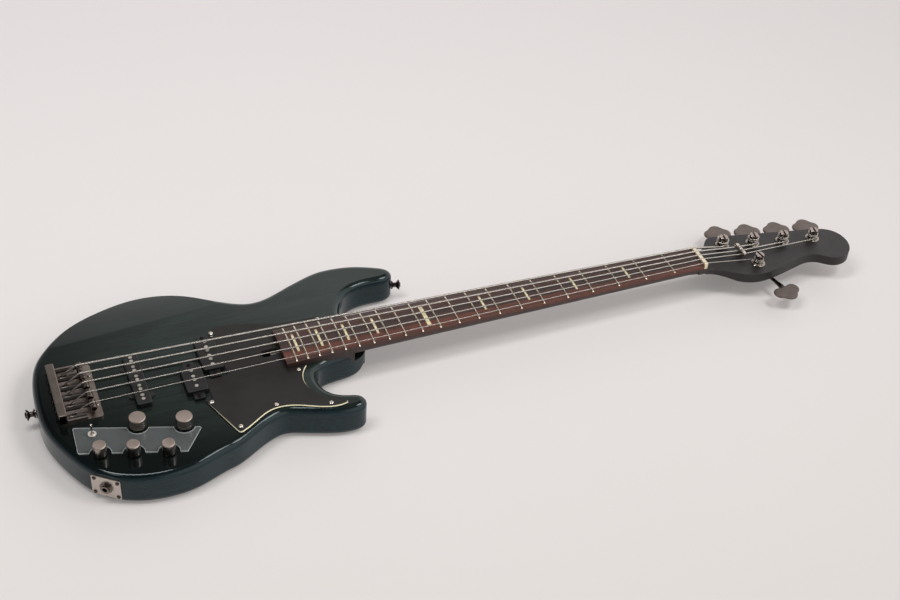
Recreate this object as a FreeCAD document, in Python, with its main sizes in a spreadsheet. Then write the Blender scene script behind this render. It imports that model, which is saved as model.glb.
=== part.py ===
import FreeCAD, Part
import math
import os

# A five-string electric bass guitar lying on its back.
# X runs along the neck towards the headstock, Y to the bass side, Z up from the back of the body.
# The origin is on the centre line, at the scale line of the bridge, on the plane of the body's back.

Vector = FreeCAD.Vector
Placement = FreeCAD.Placement
Rotation = FreeCAD.Rotation
UP = Vector(0, 0, 1)
ALONG = Vector(1, 0, 0)
ACROSS = Vector(0, 1, 0)
ORIGIN = Vector(0, 0, 0)

DRIVING_SIZES = {
    # body
    "body_length": 508.5,
    "body_width": 335.0,
    "body_thickness": 45.0,
    "body_edge_round": 9.0,
    "forearm_first_angle": 1.5,
    "forearm_last_angle": 19.0,
    "forearm_width": 90.0,
    "cavity_roof": 6.0,
    "cover_thickness": 2.2,
    # neck and fingerboard
    "scale_length": 863.6,
    "fret_count": 21.0,
    "nut_width": 43.0,
    "nut_length": 5.0,
    "board_end_width": 68.8,
    "board_end_from_scale": 243.5,
    "board_thickness": 6.0,
    "board_radius": 254.0,
    "board_rise": 11.0,
    "fret_width": 2.6,
    "fret_rise": 1.05,
    "inlay_depth": 2.0,
    "pocket_depth": 15.0,
    "heel_length": 92.0,
    "neck_depth_nut": 15.0,
    "neck_depth_heel": 17.0,
    "headstock_drop": 13.0,
    "headstock_thickness": 14.5,
    # strings
    "gauge_low_b": 3.3,
    "gauge_e": 2.67,
    "gauge_a": 2.16,
    "gauge_d": 1.65,
    "gauge_g": 1.14,
    "bridge_spacing": 18.0,
    "nut_spacing": 8.7,
    "string_rise_saddle": 8.4,
    "string_rise_nut": 1.6,
    "string_exit": -30.0,
    "coil_gap": 0.6,
    # bridge
    "plate_thickness": 3.0,
    "plate_front": 6.0,
    "plate_back": -48.0,
    "plate_width": 98.0,
    "plate_wall_rise": 4.0,
    "plate_wall": 2.4,
    "tail_block_height": 14.0,
    "tail_block_length": 10.5,
    "saddle_width": 15.5,
    "saddle_travel": 3.0,
    # pickups and pickguard
    "pickup_rise": 8.0,
    "pickup_wall": 1.4,
    "pickup_cavity_depth": 20.0,
    "split_pickup_width": 27.0,
    "bridge_pickup_width": 19.0,
    "pole_radius": 2.4,
    "guard_ply": 1.2,
    "guard_line": 0.9,
    # controls
    "control_plate_thickness": 2.0,
    "large_knob_radius": 10.5,
    "small_knob_radius": 8.2,
    "knob_height": 16.0,
    "knob_rise": 1.8,
    "pot_radius": 8.0,
    "shaft_radius": 3.0,
    "jack_plate_width": 38.0,
    "jack_plate_height": 31.0,
    "jack_plate_thickness": 1.6,
    "jack_bore_radius": 3.25,
    # tuners
    "post_radius": 5.5,
    "post_rise": 16.0,
    "bushing_radius": 10.5,
    "bushing_rise": 3.0,
    "gear_radius": 11.1,
    "gear_thickness": 6.4,
    "worm_radius": 3.6,
    "worm_offset": 15.0,
    "worm_shaft_radius": 2.5,
    "key_thickness": 3.0,
    "tuner_plate_thickness": 2.5,
    # fits
    "running_gap": 0.3,
    "shaft_gap": 0.08,
    "seat_gap": 0.05,
}

os.makedirs("parts", exist_ok=True)
doc = FreeCAD.newDocument("bass_guitar")
sheet = doc.addObject("Spreadsheet::Sheet", "sizes")
for row, (alias, value) in enumerate(DRIVING_SIZES.items(), start=1):
    sheet.set(f"A{row}", alias)
    sheet.set(f"B{row}", str(value))
    sheet.setAlias(f"B{row}", alias)
doc.recompute()


def size(alias):
    """Read one driving size from the sheet."""
    return float(sheet.get(alias))


# levels above the back of the body
BODY_TOP = size("body_thickness")
BOARD_TOP = BODY_TOP + size("board_rise")
BOARD_BOTTOM = BOARD_TOP - size("board_thickness")
HEEL_BOTTOM = BODY_TOP - size("pocket_depth")
HEAD_FACE = BOARD_TOP - size("headstock_drop")
HEAD_BACK = HEAD_FACE - size("headstock_thickness")
PLATE_TOP = BODY_TOP + size("plate_thickness")
GUARD_TOP = BODY_TOP + 2 * size("guard_ply")
CONTROL_TOP = BODY_TOP + size("control_plate_thickness")
CAVITY_ROOF = BODY_TOP - size("cavity_roof")

# outline of the body as drawn, and its stretch when the body's length or width changes
BODY_OUTLINE = [
    (142, -144), (185, -121), (204, -111.5), (219, -108), (236, -112), (262, -121), (288, -128), (303, -129),
    (311.5, -128), (319.2, -124), (323, -115), (319.4, -106), (308, -100.5), (292, -94.5), (281, -84),
    (276, -70), (276.5, -56), (283, -44), (298, -37.5), (316, -35), (336, -31), (352, -21), (360, 0), (356, 20),
    (346, 36), (343, 52), (348, 69), (358, 84), (371, 94), (390, 99.5), (410, 100.5), (426, 101.6),
    (435, 106.5), (438.5, 115.5), (434.6, 124.6), (424.5, 131.4), (409, 138.5), (387, 145.5), (362, 148.5),
    (338, 147), (314, 139.5), (287, 128), (264, 117.5), (246, 112), (230, 112), (215, 117), (191, 130.5),
    (163, 148), (130, 163), (93, 169), (61, 164), (34, 154.5), (7, 142), (-23, 121.5), (-43, 100), (-57, 79),
    (-66, 50), (-70, 8), (-66, -46), (-56, -76), (-44, -102), (-26, -130), (3, -153), (33, -163.5), (62, -166),
    (93, -162),
]


def reach_of(points, axis):
    """Extent of drawn points along one axis."""
    values = [point[axis] for point in points]
    return max(values) - min(values)


STRETCH_X = size("body_length") / reach_of(BODY_OUTLINE, 0)
STRETCH_Y = size("body_width") / reach_of(BODY_OUTLINE, 1)
HORN_TIP_RADIUS = 12.0
EDGE_ROUND = min(size("body_edge_round"), 0.85 * HORN_TIP_RADIUS * min(STRETCH_X, STRETCH_Y))

SEAT = size("seat_gap")
GAP = size("running_gap")
sub_parts = []


# document helpers

def keep(part, label):
    """Name a finished sub-part; the label names its file."""
    part.Label = label
    sub_parts.append(part)
    return part


def new_body(name):
    """Start a PartDesign body."""
    return doc.addObject("PartDesign::Body", name)


def add_sketch(body, name, plane, curves, lift="0", turn=None):
    """Draw closed curves on an origin plane of the body, lifted by an expression or set on a placement."""
    sketch = body.newObject("Sketcher::SketchObject", name)
    support = next(f for f in body.Origin.OriginFeatures if f.Role == plane)
    sketch.AttachmentSupport = [(support, "")]
    sketch.MapMode = "FlatFace"
    if turn is None:
        sketch.setExpression("AttachmentOffset.Base.z", lift)
    else:
        sketch.AttachmentOffset = turn
    sketch.addGeometry(curves, False)
    return sketch


def add_feature(body, kind, name, sketch, length, reverse=False):
    """Add a pad or a pocket of a length given by an expression."""
    feature = body.newObject(f"PartDesign::{kind}", name)
    feature.Profile = sketch
    feature.setExpression("Length", length)
    feature.Reversed = reverse
    body.Tip = feature
    return feature


def add_loft(body, name, first, last):
    """Loft between two sketches."""
    loft = body.newObject("PartDesign::AdditiveLoft", name)
    loft.Profile = first
    loft.Sections = [last]
    loft.Ruled = True
    body.Tip = loft
    return loft


def round_edges(body, name, wanted, radius):
    """Round the edges of the body's present shape that a test picks."""
    doc.recompute()
    base = body.Tip
    names = [f"Edge{i}" for i, edge in enumerate(base.Shape.Edges, start=1) if wanted(edge)]
    fillet = body.newObject("PartDesign::Fillet", name)
    fillet.Base = (base, names)
    fillet.setExpression("Radius", radius)
    body.Tip = fillet
    return fillet


def turned_body(name, profile, place=None):
    """A body of revolution about its own Z axis from (radius, height) points."""
    body = new_body(name)
    sketch = add_sketch(body, name + "_profile", "XZ_Plane", polygon(profile))
    turn = body.newObject("PartDesign::Revolution", name + "_turn")
    turn.Profile = sketch
    turn.ReferenceAxis = (sketch, ["V_Axis"])
    turn.Angle = 360.0
    body.Tip = turn
    if place is not None:
        body.Placement = place
    return body


def feature_of(label, shapes):
    """Keep one shape, or several solids as one group, as a sub-part."""
    part = doc.addObject("Part::Feature", label)
    part.Shape = shapes[0] if len(shapes) == 1 else Part.makeCompound(shapes)
    return keep(part, label)


def group_of(label, members):
    """Keep several document objects as one sub-part."""
    group = doc.addObject("Part::Compound", label)
    group.Links = members
    return keep(group, label)


def bound_cylinder(name, radius, height, place):
    """A cylinder with both sizes bound to expressions."""
    part = doc.addObject("Part::Cylinder", name)
    part.setExpression("Radius", radius)
    part.setExpression("Height", height)
    part.Placement = place
    return part


def bound_box(name, length, width, height, corner):
    """A box with its three sizes bound to expressions."""
    part = doc.addObject("Part::Box", name)
    part.setExpression("Length", length)
    part.setExpression("Width", width)
    part.setExpression("Height", height)
    part.Placement = Placement(corner, Rotation())
    return part


# drawing helpers

def flat(point):
    """A drawn point as a vector in its sketch."""
    return Vector(point[0], point[1], 0)


def polygon(points):
    """Closed chain of straight lines."""
    corners = [flat(p) for p in points]
    return [Part.LineSegment(a, b) for a, b in zip(corners, corners[1:] + corners[:1])]


def rectangle(x0, x1, y0, y1):
    """Corner points of a rectangle."""
    return [(x0, y0), (x1, y0), (x1, y1), (x0, y1)]


def rounded(points, radius):
    """Closed chain of lines with an arc of one radius at each corner."""
    corners = [flat(p) for p in points]
    count = len(corners)
    ends = []
    arcs = []
    for i, corner in enumerate(corners):
        back = (corners[i - 1] - corner).normalize()
        ahead = (corners[(i + 1) % count] - corner).normalize()
        half = back.getAngle(ahead) / 2
        reach = radius / math.tan(half)
        middle = (back + ahead).normalize()
        tip = corner + middle * (radius / math.sin(half) - radius)
        start = corner + back * reach
        stop = corner + ahead * reach
        arcs.append(Part.Arc(start, tip, stop))
        ends.append((start, stop))
    lines = [Part.LineSegment(ends[i][1], ends[(i + 1) % count][0]) for i in range(count)]
    return [curve for pair in zip(arcs, lines) for curve in pair]


def circles(centres, radius):
    """Circles of one radius."""
    return [Part.Circle(flat(c), UP, radius) for c in centres]


def closed_spline(points):
    """Smooth closed curve through points."""
    curve = Part.BSplineCurve()
    curve.interpolate(Points=[flat(p) for p in points], PeriodicFlag=True)
    return curve


def spline(points):
    """Smooth open curve through points."""
    curve = Part.BSplineCurve()
    curve.interpolate(Points=[flat(p) for p in points])
    return curve


def sheet_of(curves):
    """Flat face inside a closed chain of curves."""
    return Part.Face(Part.Wire([curve.toShape() for curve in curves]))


def lathe(profile):
    """Solid of revolution about Z from (radius, height) points."""
    points = [Vector(r, 0, z) for r, z in profile]
    return Part.Face(Part.makePolygon(points + points[:1])).revolve(ORIGIN, UP, 360)


def along(axis, base):
    """Placement that turns Z to an axis and moves to a base point."""
    return Placement(base, Rotation(UP, axis))


def shift(x, y, z):
    """Placement that only moves."""
    return Placement(Vector(x, y, z), Rotation())


def placed(shape, place):
    """Copy of a shape on a placement."""
    copy = shape.copy()
    copy.Placement = place.multiply(copy.Placement)
    return copy


def box(x0, x1, y0, y1, z0, z1):
    """Solid box between limits."""
    return Part.makeBox(x1 - x0, y1 - y0, z1 - z0, Vector(x0, y0, z0))


def rod(base, axis, radius, length):
    """Solid cylinder from a base point along an axis."""
    return Part.makeCylinder(radius, length, base, axis)


def screw(head_radius, head_height, shank_radius, shank_length):
    """Pan-head screw, head up, seat at height zero, shank below."""
    return lathe([(0, -shank_length), (shank_radius, -shank_length), (shank_radius, 0), (head_radius, 0),
                  (head_radius, head_height * 0.6), (head_radius * 0.7, head_height), (0, head_height)])


# places shared by several sub-parts

def half_width(x):
    """Half the width of the fingerboard at a place along the neck."""
    nut = size("nut_width") / 2
    end = size("board_end_width") / 2
    reach = size("scale_length") - size("board_end_from_scale")
    return nut + (end - nut) * (size("scale_length") - x) / reach


def fret_place(number):
    """Distance of a fret from the scale line."""
    return size("scale_length") * 2 ** (-number / 12)


NUT_FRONT = size("scale_length")
NUT_BACK = NUT_FRONT + size("nut_length")
BOARD_END = size("board_end_from_scale")
HEEL_END = BOARD_END + size("heel_length")

GAUGES = [size("gauge_" + name) for name in ("low_b", "e", "a", "d", "g")]
STRINGS = range(len(GAUGES))
BRIDGE_Y = [(2 - k) * size("bridge_spacing") for k in STRINGS]
NUT_Y = [(2 - k) * size("nut_spacing") for k in STRINGS]
SADDLE_LINE = -4.5
SADDLE_STAGGER = 0.8
SADDLE_X = [SADDLE_LINE - SADDLE_STAGGER * (2 - k) for k in STRINGS]
SADDLE_Z = [BOARD_TOP + size("string_rise_saddle") - y * y / 2 / size("board_radius") for y in BRIDGE_Y]
NUT_Z = [BOARD_TOP + size("string_rise_nut") + g / 2 - y * y / 2 / size("board_radius")
         for g, y in zip(GAUGES, NUT_Y)]

# tuner posts: reach from the nut, direction of the key shaft, and hand (the treble tuner mirrors the others)
BASS_KEY_SIDE = Vector(0.177, 0.984, 0).normalize()
TREBLE_KEY_SIDE = Vector(0.164, -0.986, 0).normalize()
POST_REACH = [(58.4, 27.5), (104.4, 18.5), (150.4, 10), (197.4, 2.5), (88.4, -25)]
POSTS = [Vector(NUT_FRONT + reach, y, 0) for reach, y in POST_REACH]
KEY_SIDE = [BASS_KEY_SIDE] * 4 + [TREBLE_KEY_SIDE]
HAND = [1, 1, 1, 1, -1]
WORM_LEVEL = HEAD_BACK - size("tuner_plate_thickness") - GAP - size("gear_thickness") / 2


def tuner_place(k, level=0.0):
    """Placement on a post with local Y along its key shaft and local Z up."""
    side = KEY_SIDE[k]
    return Placement(Vector(POSTS[k].x, POSTS[k].y, level), Rotation(side.cross(UP), side, UP, "ZXY"))


def tuner_point(k, forward_reach, side_reach):
    """Point given by its reach towards the headstock's tip and along the key shaft from a post."""
    return tuner_place(k).multVec(Vector(HAND[k] * forward_reach, side_reach, 0))


# pots: place and knob radius
LARGE = size("large_knob_radius")
SMALL = size("small_knob_radius")
KNOBS = [(41, -78, LARGE), (95, -94, LARGE), (-11, -110, SMALL), (27, -121, SMALL), (67, -132, SMALL)]
KNOB_NAMES = ["knob_volume", "knob_blend", "knob_bass", "knob_middle", "knob_treble"]
KNOB_NOTCH = 13.5
CONTROL_CORNERS = [(-36, -102), (-34.5, -57.5), (114, -103), (88.5, -138)]
TOGGLE = (-14, -76)
POT_BUSH = 3.9
SWITCH_BUSH = 3.2

# jack on a flat of the side
JACK_OUT = Vector(-0.6, -0.8, 0)
JACK_ACROSS = Vector(0.8, -0.6, 0)
JACK_SEAT = Vector(-11.8 * STRETCH_X, -141.0 * STRETCH_Y, 21.5)
JACK_HOLE = 10.5

# pickups: (x centre, y from, y to, pole places)
SPLIT_BASS = (153.5, -12.0, 46.0, [y + d for y in (35, 18, 1) for d in (5, -5)])
SPLIT_TREBLE = (124.5, -46.0, 0.5, [y + d for y in (-13.5, -31.5) for d in (5.5, -5.5)])
BRIDGE_PICKUP = (57.0, -48.0, 47.0, [y + d for y in (36.2, 18.2, 0.2, -17.8, -35.8) for d in (3.2, -3.6)])
TAB = 11.0
TAB_HALF = 7.0

NECK_SCREWS = [(BOARD_END + reach, y) for reach, y in ((18.5, 20), (18.5, -20), (74.5, 18), (74.5, -18))]
FERRULE = 4.6
STRAP_TAIL = (Vector(-70.4 * STRETCH_X, 8.0 * STRETCH_Y, 22), Vector(-1, 0, 0))
STRAP_HORN = (Vector(438.0 * STRETCH_X, 111.5 * STRETCH_Y, 22), Vector(0.97, -0.24, 0).normalize())
STRAP_SCREW = 2.0
CAVITY = [(-26, -52), (112, -80), (96, -146), (56, -146), (-8, -126), (-24, -113)]
COVER = [(-31, -46), (118, -75), (100, -151), (55, -151), (-10, -131), (-29, -116)]
COVER_SCREWS = [(0, -54.6), (95, -73.5), (76, -148.5), (20, -137.5)]
NECK_PLATE = (BOARD_END + 7.5, BOARD_END + 85.5, -28, 28)
ROD_SLOT_START = BOARD_END - 24.5
ROD_CHANNEL = 10
POT_FLOOR = CAVITY_ROOF - SEAT - 14


# body

def cutter(name, curves, low, length, plane="XY_Plane", turn=None, reverse=False):
    """A padded body that is taken out of the wood."""
    body = new_body(name)
    sketch = add_sketch(body, name + "_outline", plane, curves, lift=low, turn=turn)
    add_feature(body, "Pad", name + "_pad", sketch, length, reverse)
    return body


def make_body():
    """Body of the bass: rounded blank, less the neck pocket and all cavities and bores."""
    blank = new_body("body_blank")
    outline = [(x * STRETCH_X, y * STRETCH_Y) for x, y in BODY_OUTLINE]
    sketch = add_sketch(blank, "body_outline", "XY_Plane", [closed_spline(outline)])
    add_feature(blank, "Pad", "body_pad", sketch, "sizes.body_thickness")
    round_edges(blank, "body_rounding", lambda e: e.BoundBox.ZLength < 0.01, f"{EDGE_ROUND}")
    through = "sizes.body_thickness + 2"
    # forearm contour on the bass side, curving down and outward from a line on the top
    start = Vector(-40 * STRETCH_X, 96 * STRETCH_Y, BODY_TOP)
    stop = Vector(215 * STRETCH_X, 121 * STRETCH_Y, BODY_TOP)
    edge = (stop - start).normalize()
    outward = Vector(-edge.y, edge.x, 0)
    bevel = Placement(start, Rotation(outward, UP, edge, "ZXY"))
    first = math.radians(size("forearm_first_angle"))
    last = math.radians(size("forearm_last_angle"))
    radius = size("forearm_width") / (math.sin(last) - math.sin(first))
    centre = Vector(-radius * math.sin(first), -radius * math.cos(first), 0)
    on_arc = [centre + Vector(radius * math.sin(a), radius * math.cos(a), 0)
              for a in (first, (first + last) / 2, last)]
    above = [Vector(on_arc[2].x, 10, 0), Vector(0, 10, 0)]
    bevel_area = [Part.Arc(*on_arc), Part.LineSegment(on_arc[2], above[0]),
                  Part.LineSegment(above[0], above[1]), Part.LineSegment(above[1], on_arc[0])]
    cuts = [cutter("forearm_bevel", bevel_area, "0", f"{(stop - start).Length}", turn=bevel)]
    # slope on the back of the heel
    heel_start = NECK_PLATE[1] + 1
    heel_stop = HEEL_END + 20
    heel = polygon([(heel_start, -1), (heel_stop, -1), (heel_stop, 15)])
    cuts.append(cutter("heel_slope", heel, "-45", "90", plane="XZ_Plane"))
    # neck pocket, open towards the headstock, and the wheel slot in front of the fingerboard
    wide = half_width(BOARD_END) + SEAT
    slim = half_width(HEEL_END + 60) + SEAT
    pocket = [(BOARD_END - SEAT, -wide), (HEEL_END + 60, -slim), (HEEL_END + 60, slim), (BOARD_END - SEAT, wide)]
    pocket_floor = "sizes.body_thickness - sizes.pocket_depth"
    cuts.append(cutter("neck_pocket", polygon(pocket), pocket_floor, "sizes.pocket_depth + 5"))
    slot = rounded(rectangle(ROD_SLOT_START, BOARD_END + 6, -6, 6), 4)
    cuts.append(cutter("rod_slot", slot, pocket_floor + " + 2", "sizes.pocket_depth + 3"))
    # pickup cavities
    hollows = []
    for (x, y0, y1, _), width in ((SPLIT_BASS, "split_pickup_width"), (SPLIT_TREBLE, "split_pickup_width"),
                                  (BRIDGE_PICKUP, "bridge_pickup_width")):
        half = size(width) / 2 + GAP
        hollows += rounded(rectangle(x - half, x + half, y0 - GAP, y1 + GAP), 3)
    pickup_floor = "sizes.body_thickness - sizes.pickup_cavity_depth"
    cuts.append(cutter("pickup_cavities", hollows, pickup_floor, "sizes.pickup_cavity_depth + 5"))
    # control cavity from the back, then the recesses of its cover and of the neck plate
    cuts.append(cutter("control_cavity", rounded(CAVITY, 5), "-1", "sizes.body_thickness - sizes.cavity_roof + 1"))
    recesses = rounded(COVER, 6) + rounded(rectangle(*NECK_PLATE), 6)
    cuts.append(cutter("back_recesses", recesses, "-1", "sizes.cover_thickness + 1.4"))
    # holes for the pots and the switch
    holes = circles([k[:2] for k in KNOBS], POT_BUSH + SEAT) + circles([TOGGLE], SWITCH_BUSH + SEAT)
    roof_low = "sizes.body_thickness - sizes.cavity_roof - 1"
    cuts.append(cutter("control_holes", holes, roof_low, "sizes.cavity_roof + 6"))
    # string and neck screw bores right through, ferrule seats and cover screw bores, from the back
    strings = [(size("string_exit"), y) for y in BRIDGE_Y]
    cuts.append(cutter("through_bores", circles(strings, 2.4) + circles(NECK_SCREWS, 2.6), "-1", through))
    cuts.append(cutter("back_seats", circles(strings, FERRULE + SEAT) + circles(COVER_SCREWS, 1.3), "-1", "11"))
    # flat and bore of the output jack
    flat_half = 21
    corner = JACK_SEAT + JACK_ACROSS * -flat_half
    facing = [corner, corner + JACK_ACROSS * 2 * flat_half]
    facing += [facing[1] + JACK_OUT * 12, facing[0] + JACK_OUT * 12]
    cuts.append(cutter("jack_flat", polygon([(p.x, p.y) for p in facing]), "-1", through))
    jack = along(JACK_OUT, JACK_SEAT + JACK_OUT)
    cuts.append(cutter("jack_bore", circles([(0, 0)], JACK_HOLE), "0", "25", turn=jack, reverse=True))
    for name, (seat, out) in (("tail", STRAP_TAIL), ("horn", STRAP_HORN)):
        bore = along(out, seat + out * 3)
        ring = circles([(0, 0)], STRAP_SCREW + SEAT)
        cuts.append(cutter(name + "_strap_bore", ring, "0", "28", turn=bore, reverse=True))
    hollow = doc.addObject("Part::MultiFuse", "body_hollows")
    hollow.Shapes = cuts
    wood = doc.addObject("Part::Cut", "body_wood")
    wood.Base = blank
    wood.Tool = hollow
    return keep(wood, "body_wood")


# neck

# outline of the headstock, as reach from the nut and distance from the centre line
HEAD_TREBLE_REACH = [
    (24.4, -23.5), (39.4, -31.5), (55.4, -42), (73.4, -48.5), (96.4, -48), (126.4, -41.5), (154.4, -34),
    (172.4, -31.5), (186.4, -36), (198.4, -45.5), (213.4, -50), (230.4, -44.5), (241.4, -31), (245.0, -16),
    (243.4, -3), (237.4, 8), (228.4, 15.4), (217.4, 19.6), (206.4, 21.8),
]
HEAD_BASS_REACH = [(64.4, 47.47), (54.4, 49.0), (45.4, 48.2), (38.9, 43.6), (33.4, 36.6), (27.0, 29.6), (17.4, 24.2)]
HEAD_ROOT = (4.4, size("nut_width") / 2)


def from_nut(reaches):
    """Drawn points of the headstock from their reach beyond the nut."""
    return [(NUT_FRONT + reach, y) for reach, y in reaches]


HEAD_TREBLE_SIDE = from_nut([(HEAD_ROOT[0], -HEAD_ROOT[1])] + HEAD_TREBLE_REACH)
HEAD_BASS_CORNER = from_nut(HEAD_BASS_REACH + [HEAD_ROOT])


def half_oval(wide, deep, level):
    """Lower half of an ellipse closed by a straight top."""
    oval = Part.Ellipse(Vector(0, level, 0), wide, deep)
    lower = Part.ArcOfEllipse(oval, math.pi, 2 * math.pi)
    return [lower, Part.LineSegment(Vector(wide, level, 0), Vector(-wide, level, 0))]


def make_neck():
    """Neck with its heel block, shaft, headstock and the bores in it."""
    body = new_body("neck")
    wide = half_width(BOARD_END)
    slim = half_width(HEEL_END)
    heel = [(BOARD_END, -wide), (HEEL_END, -slim), (HEEL_END, slim), (BOARD_END, wide)]
    heel_floor = "sizes.body_thickness - sizes.pocket_depth"
    sketch = add_sketch(body, "heel_outline", "XY_Plane", polygon(heel), lift=heel_floor)
    heel_height = "sizes.pocket_depth + sizes.board_rise - sizes.board_thickness"
    add_feature(body, "Pad", "heel_block", sketch, heel_height)
    shaft_start = HEEL_END - 4
    first = half_oval(half_width(shaft_start), size("neck_depth_heel"), BOARD_BOTTOM)
    last = half_oval(size("nut_width") / 2, size("neck_depth_nut"), BOARD_BOTTOM)
    heel_end = add_sketch(body, "shaft_heel_section", "YZ_Plane", first, lift=f"{shaft_start}")
    nut_end = add_sketch(body, "shaft_nut_section", "YZ_Plane", last, lift="sizes.scale_length + sizes.nut_length")
    add_loft(body, "shaft", heel_end, nut_end)
    first = half_oval(half_width(shaft_start) - 0.4, BOARD_BOTTOM - HEEL_BOTTOM - 0.4, BOARD_BOTTOM)
    last = half_oval(half_width(HEEL_END + 45) - 0.4, size("neck_depth_heel") - 1.5, BOARD_BOTTOM)
    sweep_low = add_sketch(body, "sweep_low_section", "YZ_Plane", first, lift=f"{shaft_start}")
    sweep_high = add_sketch(body, "sweep_high_section", "YZ_Plane", last, lift=f"{HEEL_END + 45}")
    add_loft(body, "heel_sweep", sweep_low, sweep_high)
    outline = [spline(HEAD_TREBLE_SIDE), Part.LineSegment(flat(HEAD_TREBLE_SIDE[-1]), flat(HEAD_BASS_CORNER[0])),
               spline(HEAD_BASS_CORNER),
               Part.LineSegment(flat(HEAD_BASS_CORNER[-1]), flat(HEAD_TREBLE_SIDE[0]))]
    sketch = add_sketch(body, "headstock_outline", "XY_Plane", outline, lift=f"{HEAD_BACK}")
    add_feature(body, "Pad", "headstock", sketch, "sizes.headstock_thickness")
    # ramp under the headstock's root, so that its back rises towards the shaft
    root = NUT_FRONT + HEAD_ROOT[0]
    ramp = polygon([(root - 1, HEAD_BACK - 1), (root + 46, HEAD_BACK - 1), (root + 46, HEAD_BACK),
                    (root, HEAD_FACE - 4), (root - 1, HEAD_FACE - 4)])
    sketch = add_sketch(body, "root_ramp", "XZ_Plane", ramp, lift="-80")
    add_feature(body, "Pocket", "root_ramp_cut", sketch, "160", True)
    # scoop between the nut and the headstock's face
    corner_top = Vector(NUT_BACK, BOARD_BOTTOM, 0)
    corner_low = Vector(NUT_BACK + 20, HEAD_FACE, 0)
    dip = Vector(NUT_BACK + 6.5, HEAD_FACE + 2.2, 0)
    under_start = Vector(NUT_FRONT - 8, HEAD_FACE - 2, 0)
    under_stop = Vector(NUT_BACK + 20, HEAD_FACE - 2, 0)
    behind = Vector(NUT_FRONT - 8, BOARD_BOTTOM, 0)
    scoop = [Part.Arc(corner_top, dip, corner_low), Part.LineSegment(corner_low, under_stop),
             Part.LineSegment(under_stop, under_start), Part.LineSegment(under_start, behind),
             Part.LineSegment(behind, corner_top)]
    sketch = add_sketch(body, "scoop_section", "XZ_Plane", scoop, lift="-sizes.nut_width / 2")
    add_feature(body, "Pad", "scoop", sketch, "sizes.nut_width")
    # swelling between the shaft's back and the headstock's back
    front = half_oval(17, HEAD_FACE - (BOARD_BOTTOM - size("neck_depth_nut")) - 0.8, HEAD_FACE)
    rear = half_oval(23, HEAD_FACE - HEAD_BACK - 0.1, HEAD_FACE)
    swell_front = add_sketch(body, "swell_front", "YZ_Plane", front, lift="sizes.scale_length - 28")
    swell_rear = add_sketch(body, "swell_rear", "YZ_Plane", rear, lift="sizes.scale_length + 30")
    add_loft(body, "swell", swell_front, swell_rear)
    # truss rod channel under the fingerboard
    channel = rectangle(BOARD_END - 1, NUT_FRONT - 20, -3.2, 3.2)
    sketch = add_sketch(body, "rod_channel", "XY_Plane", polygon(channel), lift=f"{BOARD_BOTTOM}")
    add_feature(body, "Pocket", "rod_channel_cut", sketch, f"{ROD_CHANNEL}")
    # tuner bores and small screw bores
    bores = circles([(p.x, p.y) for p in POSTS], 8.5)
    sketch = add_sketch(body, "tuner_bores", "XY_Plane", bores, lift=f"{HEAD_FACE}")
    add_feature(body, "Pocket", "tuner_bores_cut", sketch, "sizes.headstock_thickness + 1")
    sketch = add_sketch(body, "tuner_screw_bores", "XY_Plane", circles(TUNER_SCREWS, 1.3), lift=f"{HEAD_BACK}")
    add_feature(body, "Pocket", "tuner_screw_bores_cut", sketch, "9", True)
    sketch = add_sketch(body, "retainer_bores", "XY_Plane", circles(RETAINER_SCREWS, 1.3), lift=f"{HEAD_FACE}")
    add_feature(body, "Pocket", "retainer_bores_cut", sketch, "10")
    sketch = add_sketch(body, "heel_screw_bores", "XY_Plane", circles(NECK_SCREWS, 2.2), lift=f"{HEEL_BOTTOM}")
    add_feature(body, "Pocket", "heel_screw_bores_cut", sketch, "14", True)
    return keep(body, "neck")


TUNER_SCREW_REACH = [(-10, -9.5), (-10, 9.5)]
TUNER_SCREWS = [(p.x, p.y) for k in STRINGS for p in (tuner_point(k, u, w) for u, w in TUNER_SCREW_REACH)]
RETAINER = Vector(NUT_FRONT + 73.4, 1.5, 0)
RETAINER_LENGTH = 26.0
RETAINER_BAR = 3.0
RETAINER_UNDER = HEAD_FACE + 7.2
RETAINER_SCREWS = [(RETAINER.x, RETAINER.y + d) for d in (4.6, -4.2)]


def board_section(x):
    """Section of the fingerboard: flat bottom, straight sides, curved top."""
    wide = half_width(x)
    edge = BOARD_TOP - (size("board_radius") - math.sqrt(size("board_radius") ** 2 - wide ** 2))
    left = Vector(-wide, edge, 0)
    right = Vector(wide, edge, 0)
    low_left = Vector(-wide, BOARD_BOTTOM, 0)
    low_right = Vector(wide, BOARD_BOTTOM, 0)
    return [Part.Arc(left, Vector(0, BOARD_TOP, 0), right), Part.LineSegment(right, low_right),
            Part.LineSegment(low_right, low_left), Part.LineSegment(low_left, left)]


def inlay_boxes():
    """Places of the inlay bars: middle of the space before each marked fret."""
    places = []
    for number in (3, 5, 7, 9, 12, 15, 17, 19, 21):
        length, share = (5.6, 0.66) if number == 12 else (3.2, 0.5)
        middle = (fret_place(number) + fret_place(number - 1)) / 2
        reach = half_width(middle) * share
        places.append((middle - length / 2, middle + length / 2, -reach, reach))
    return places


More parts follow.
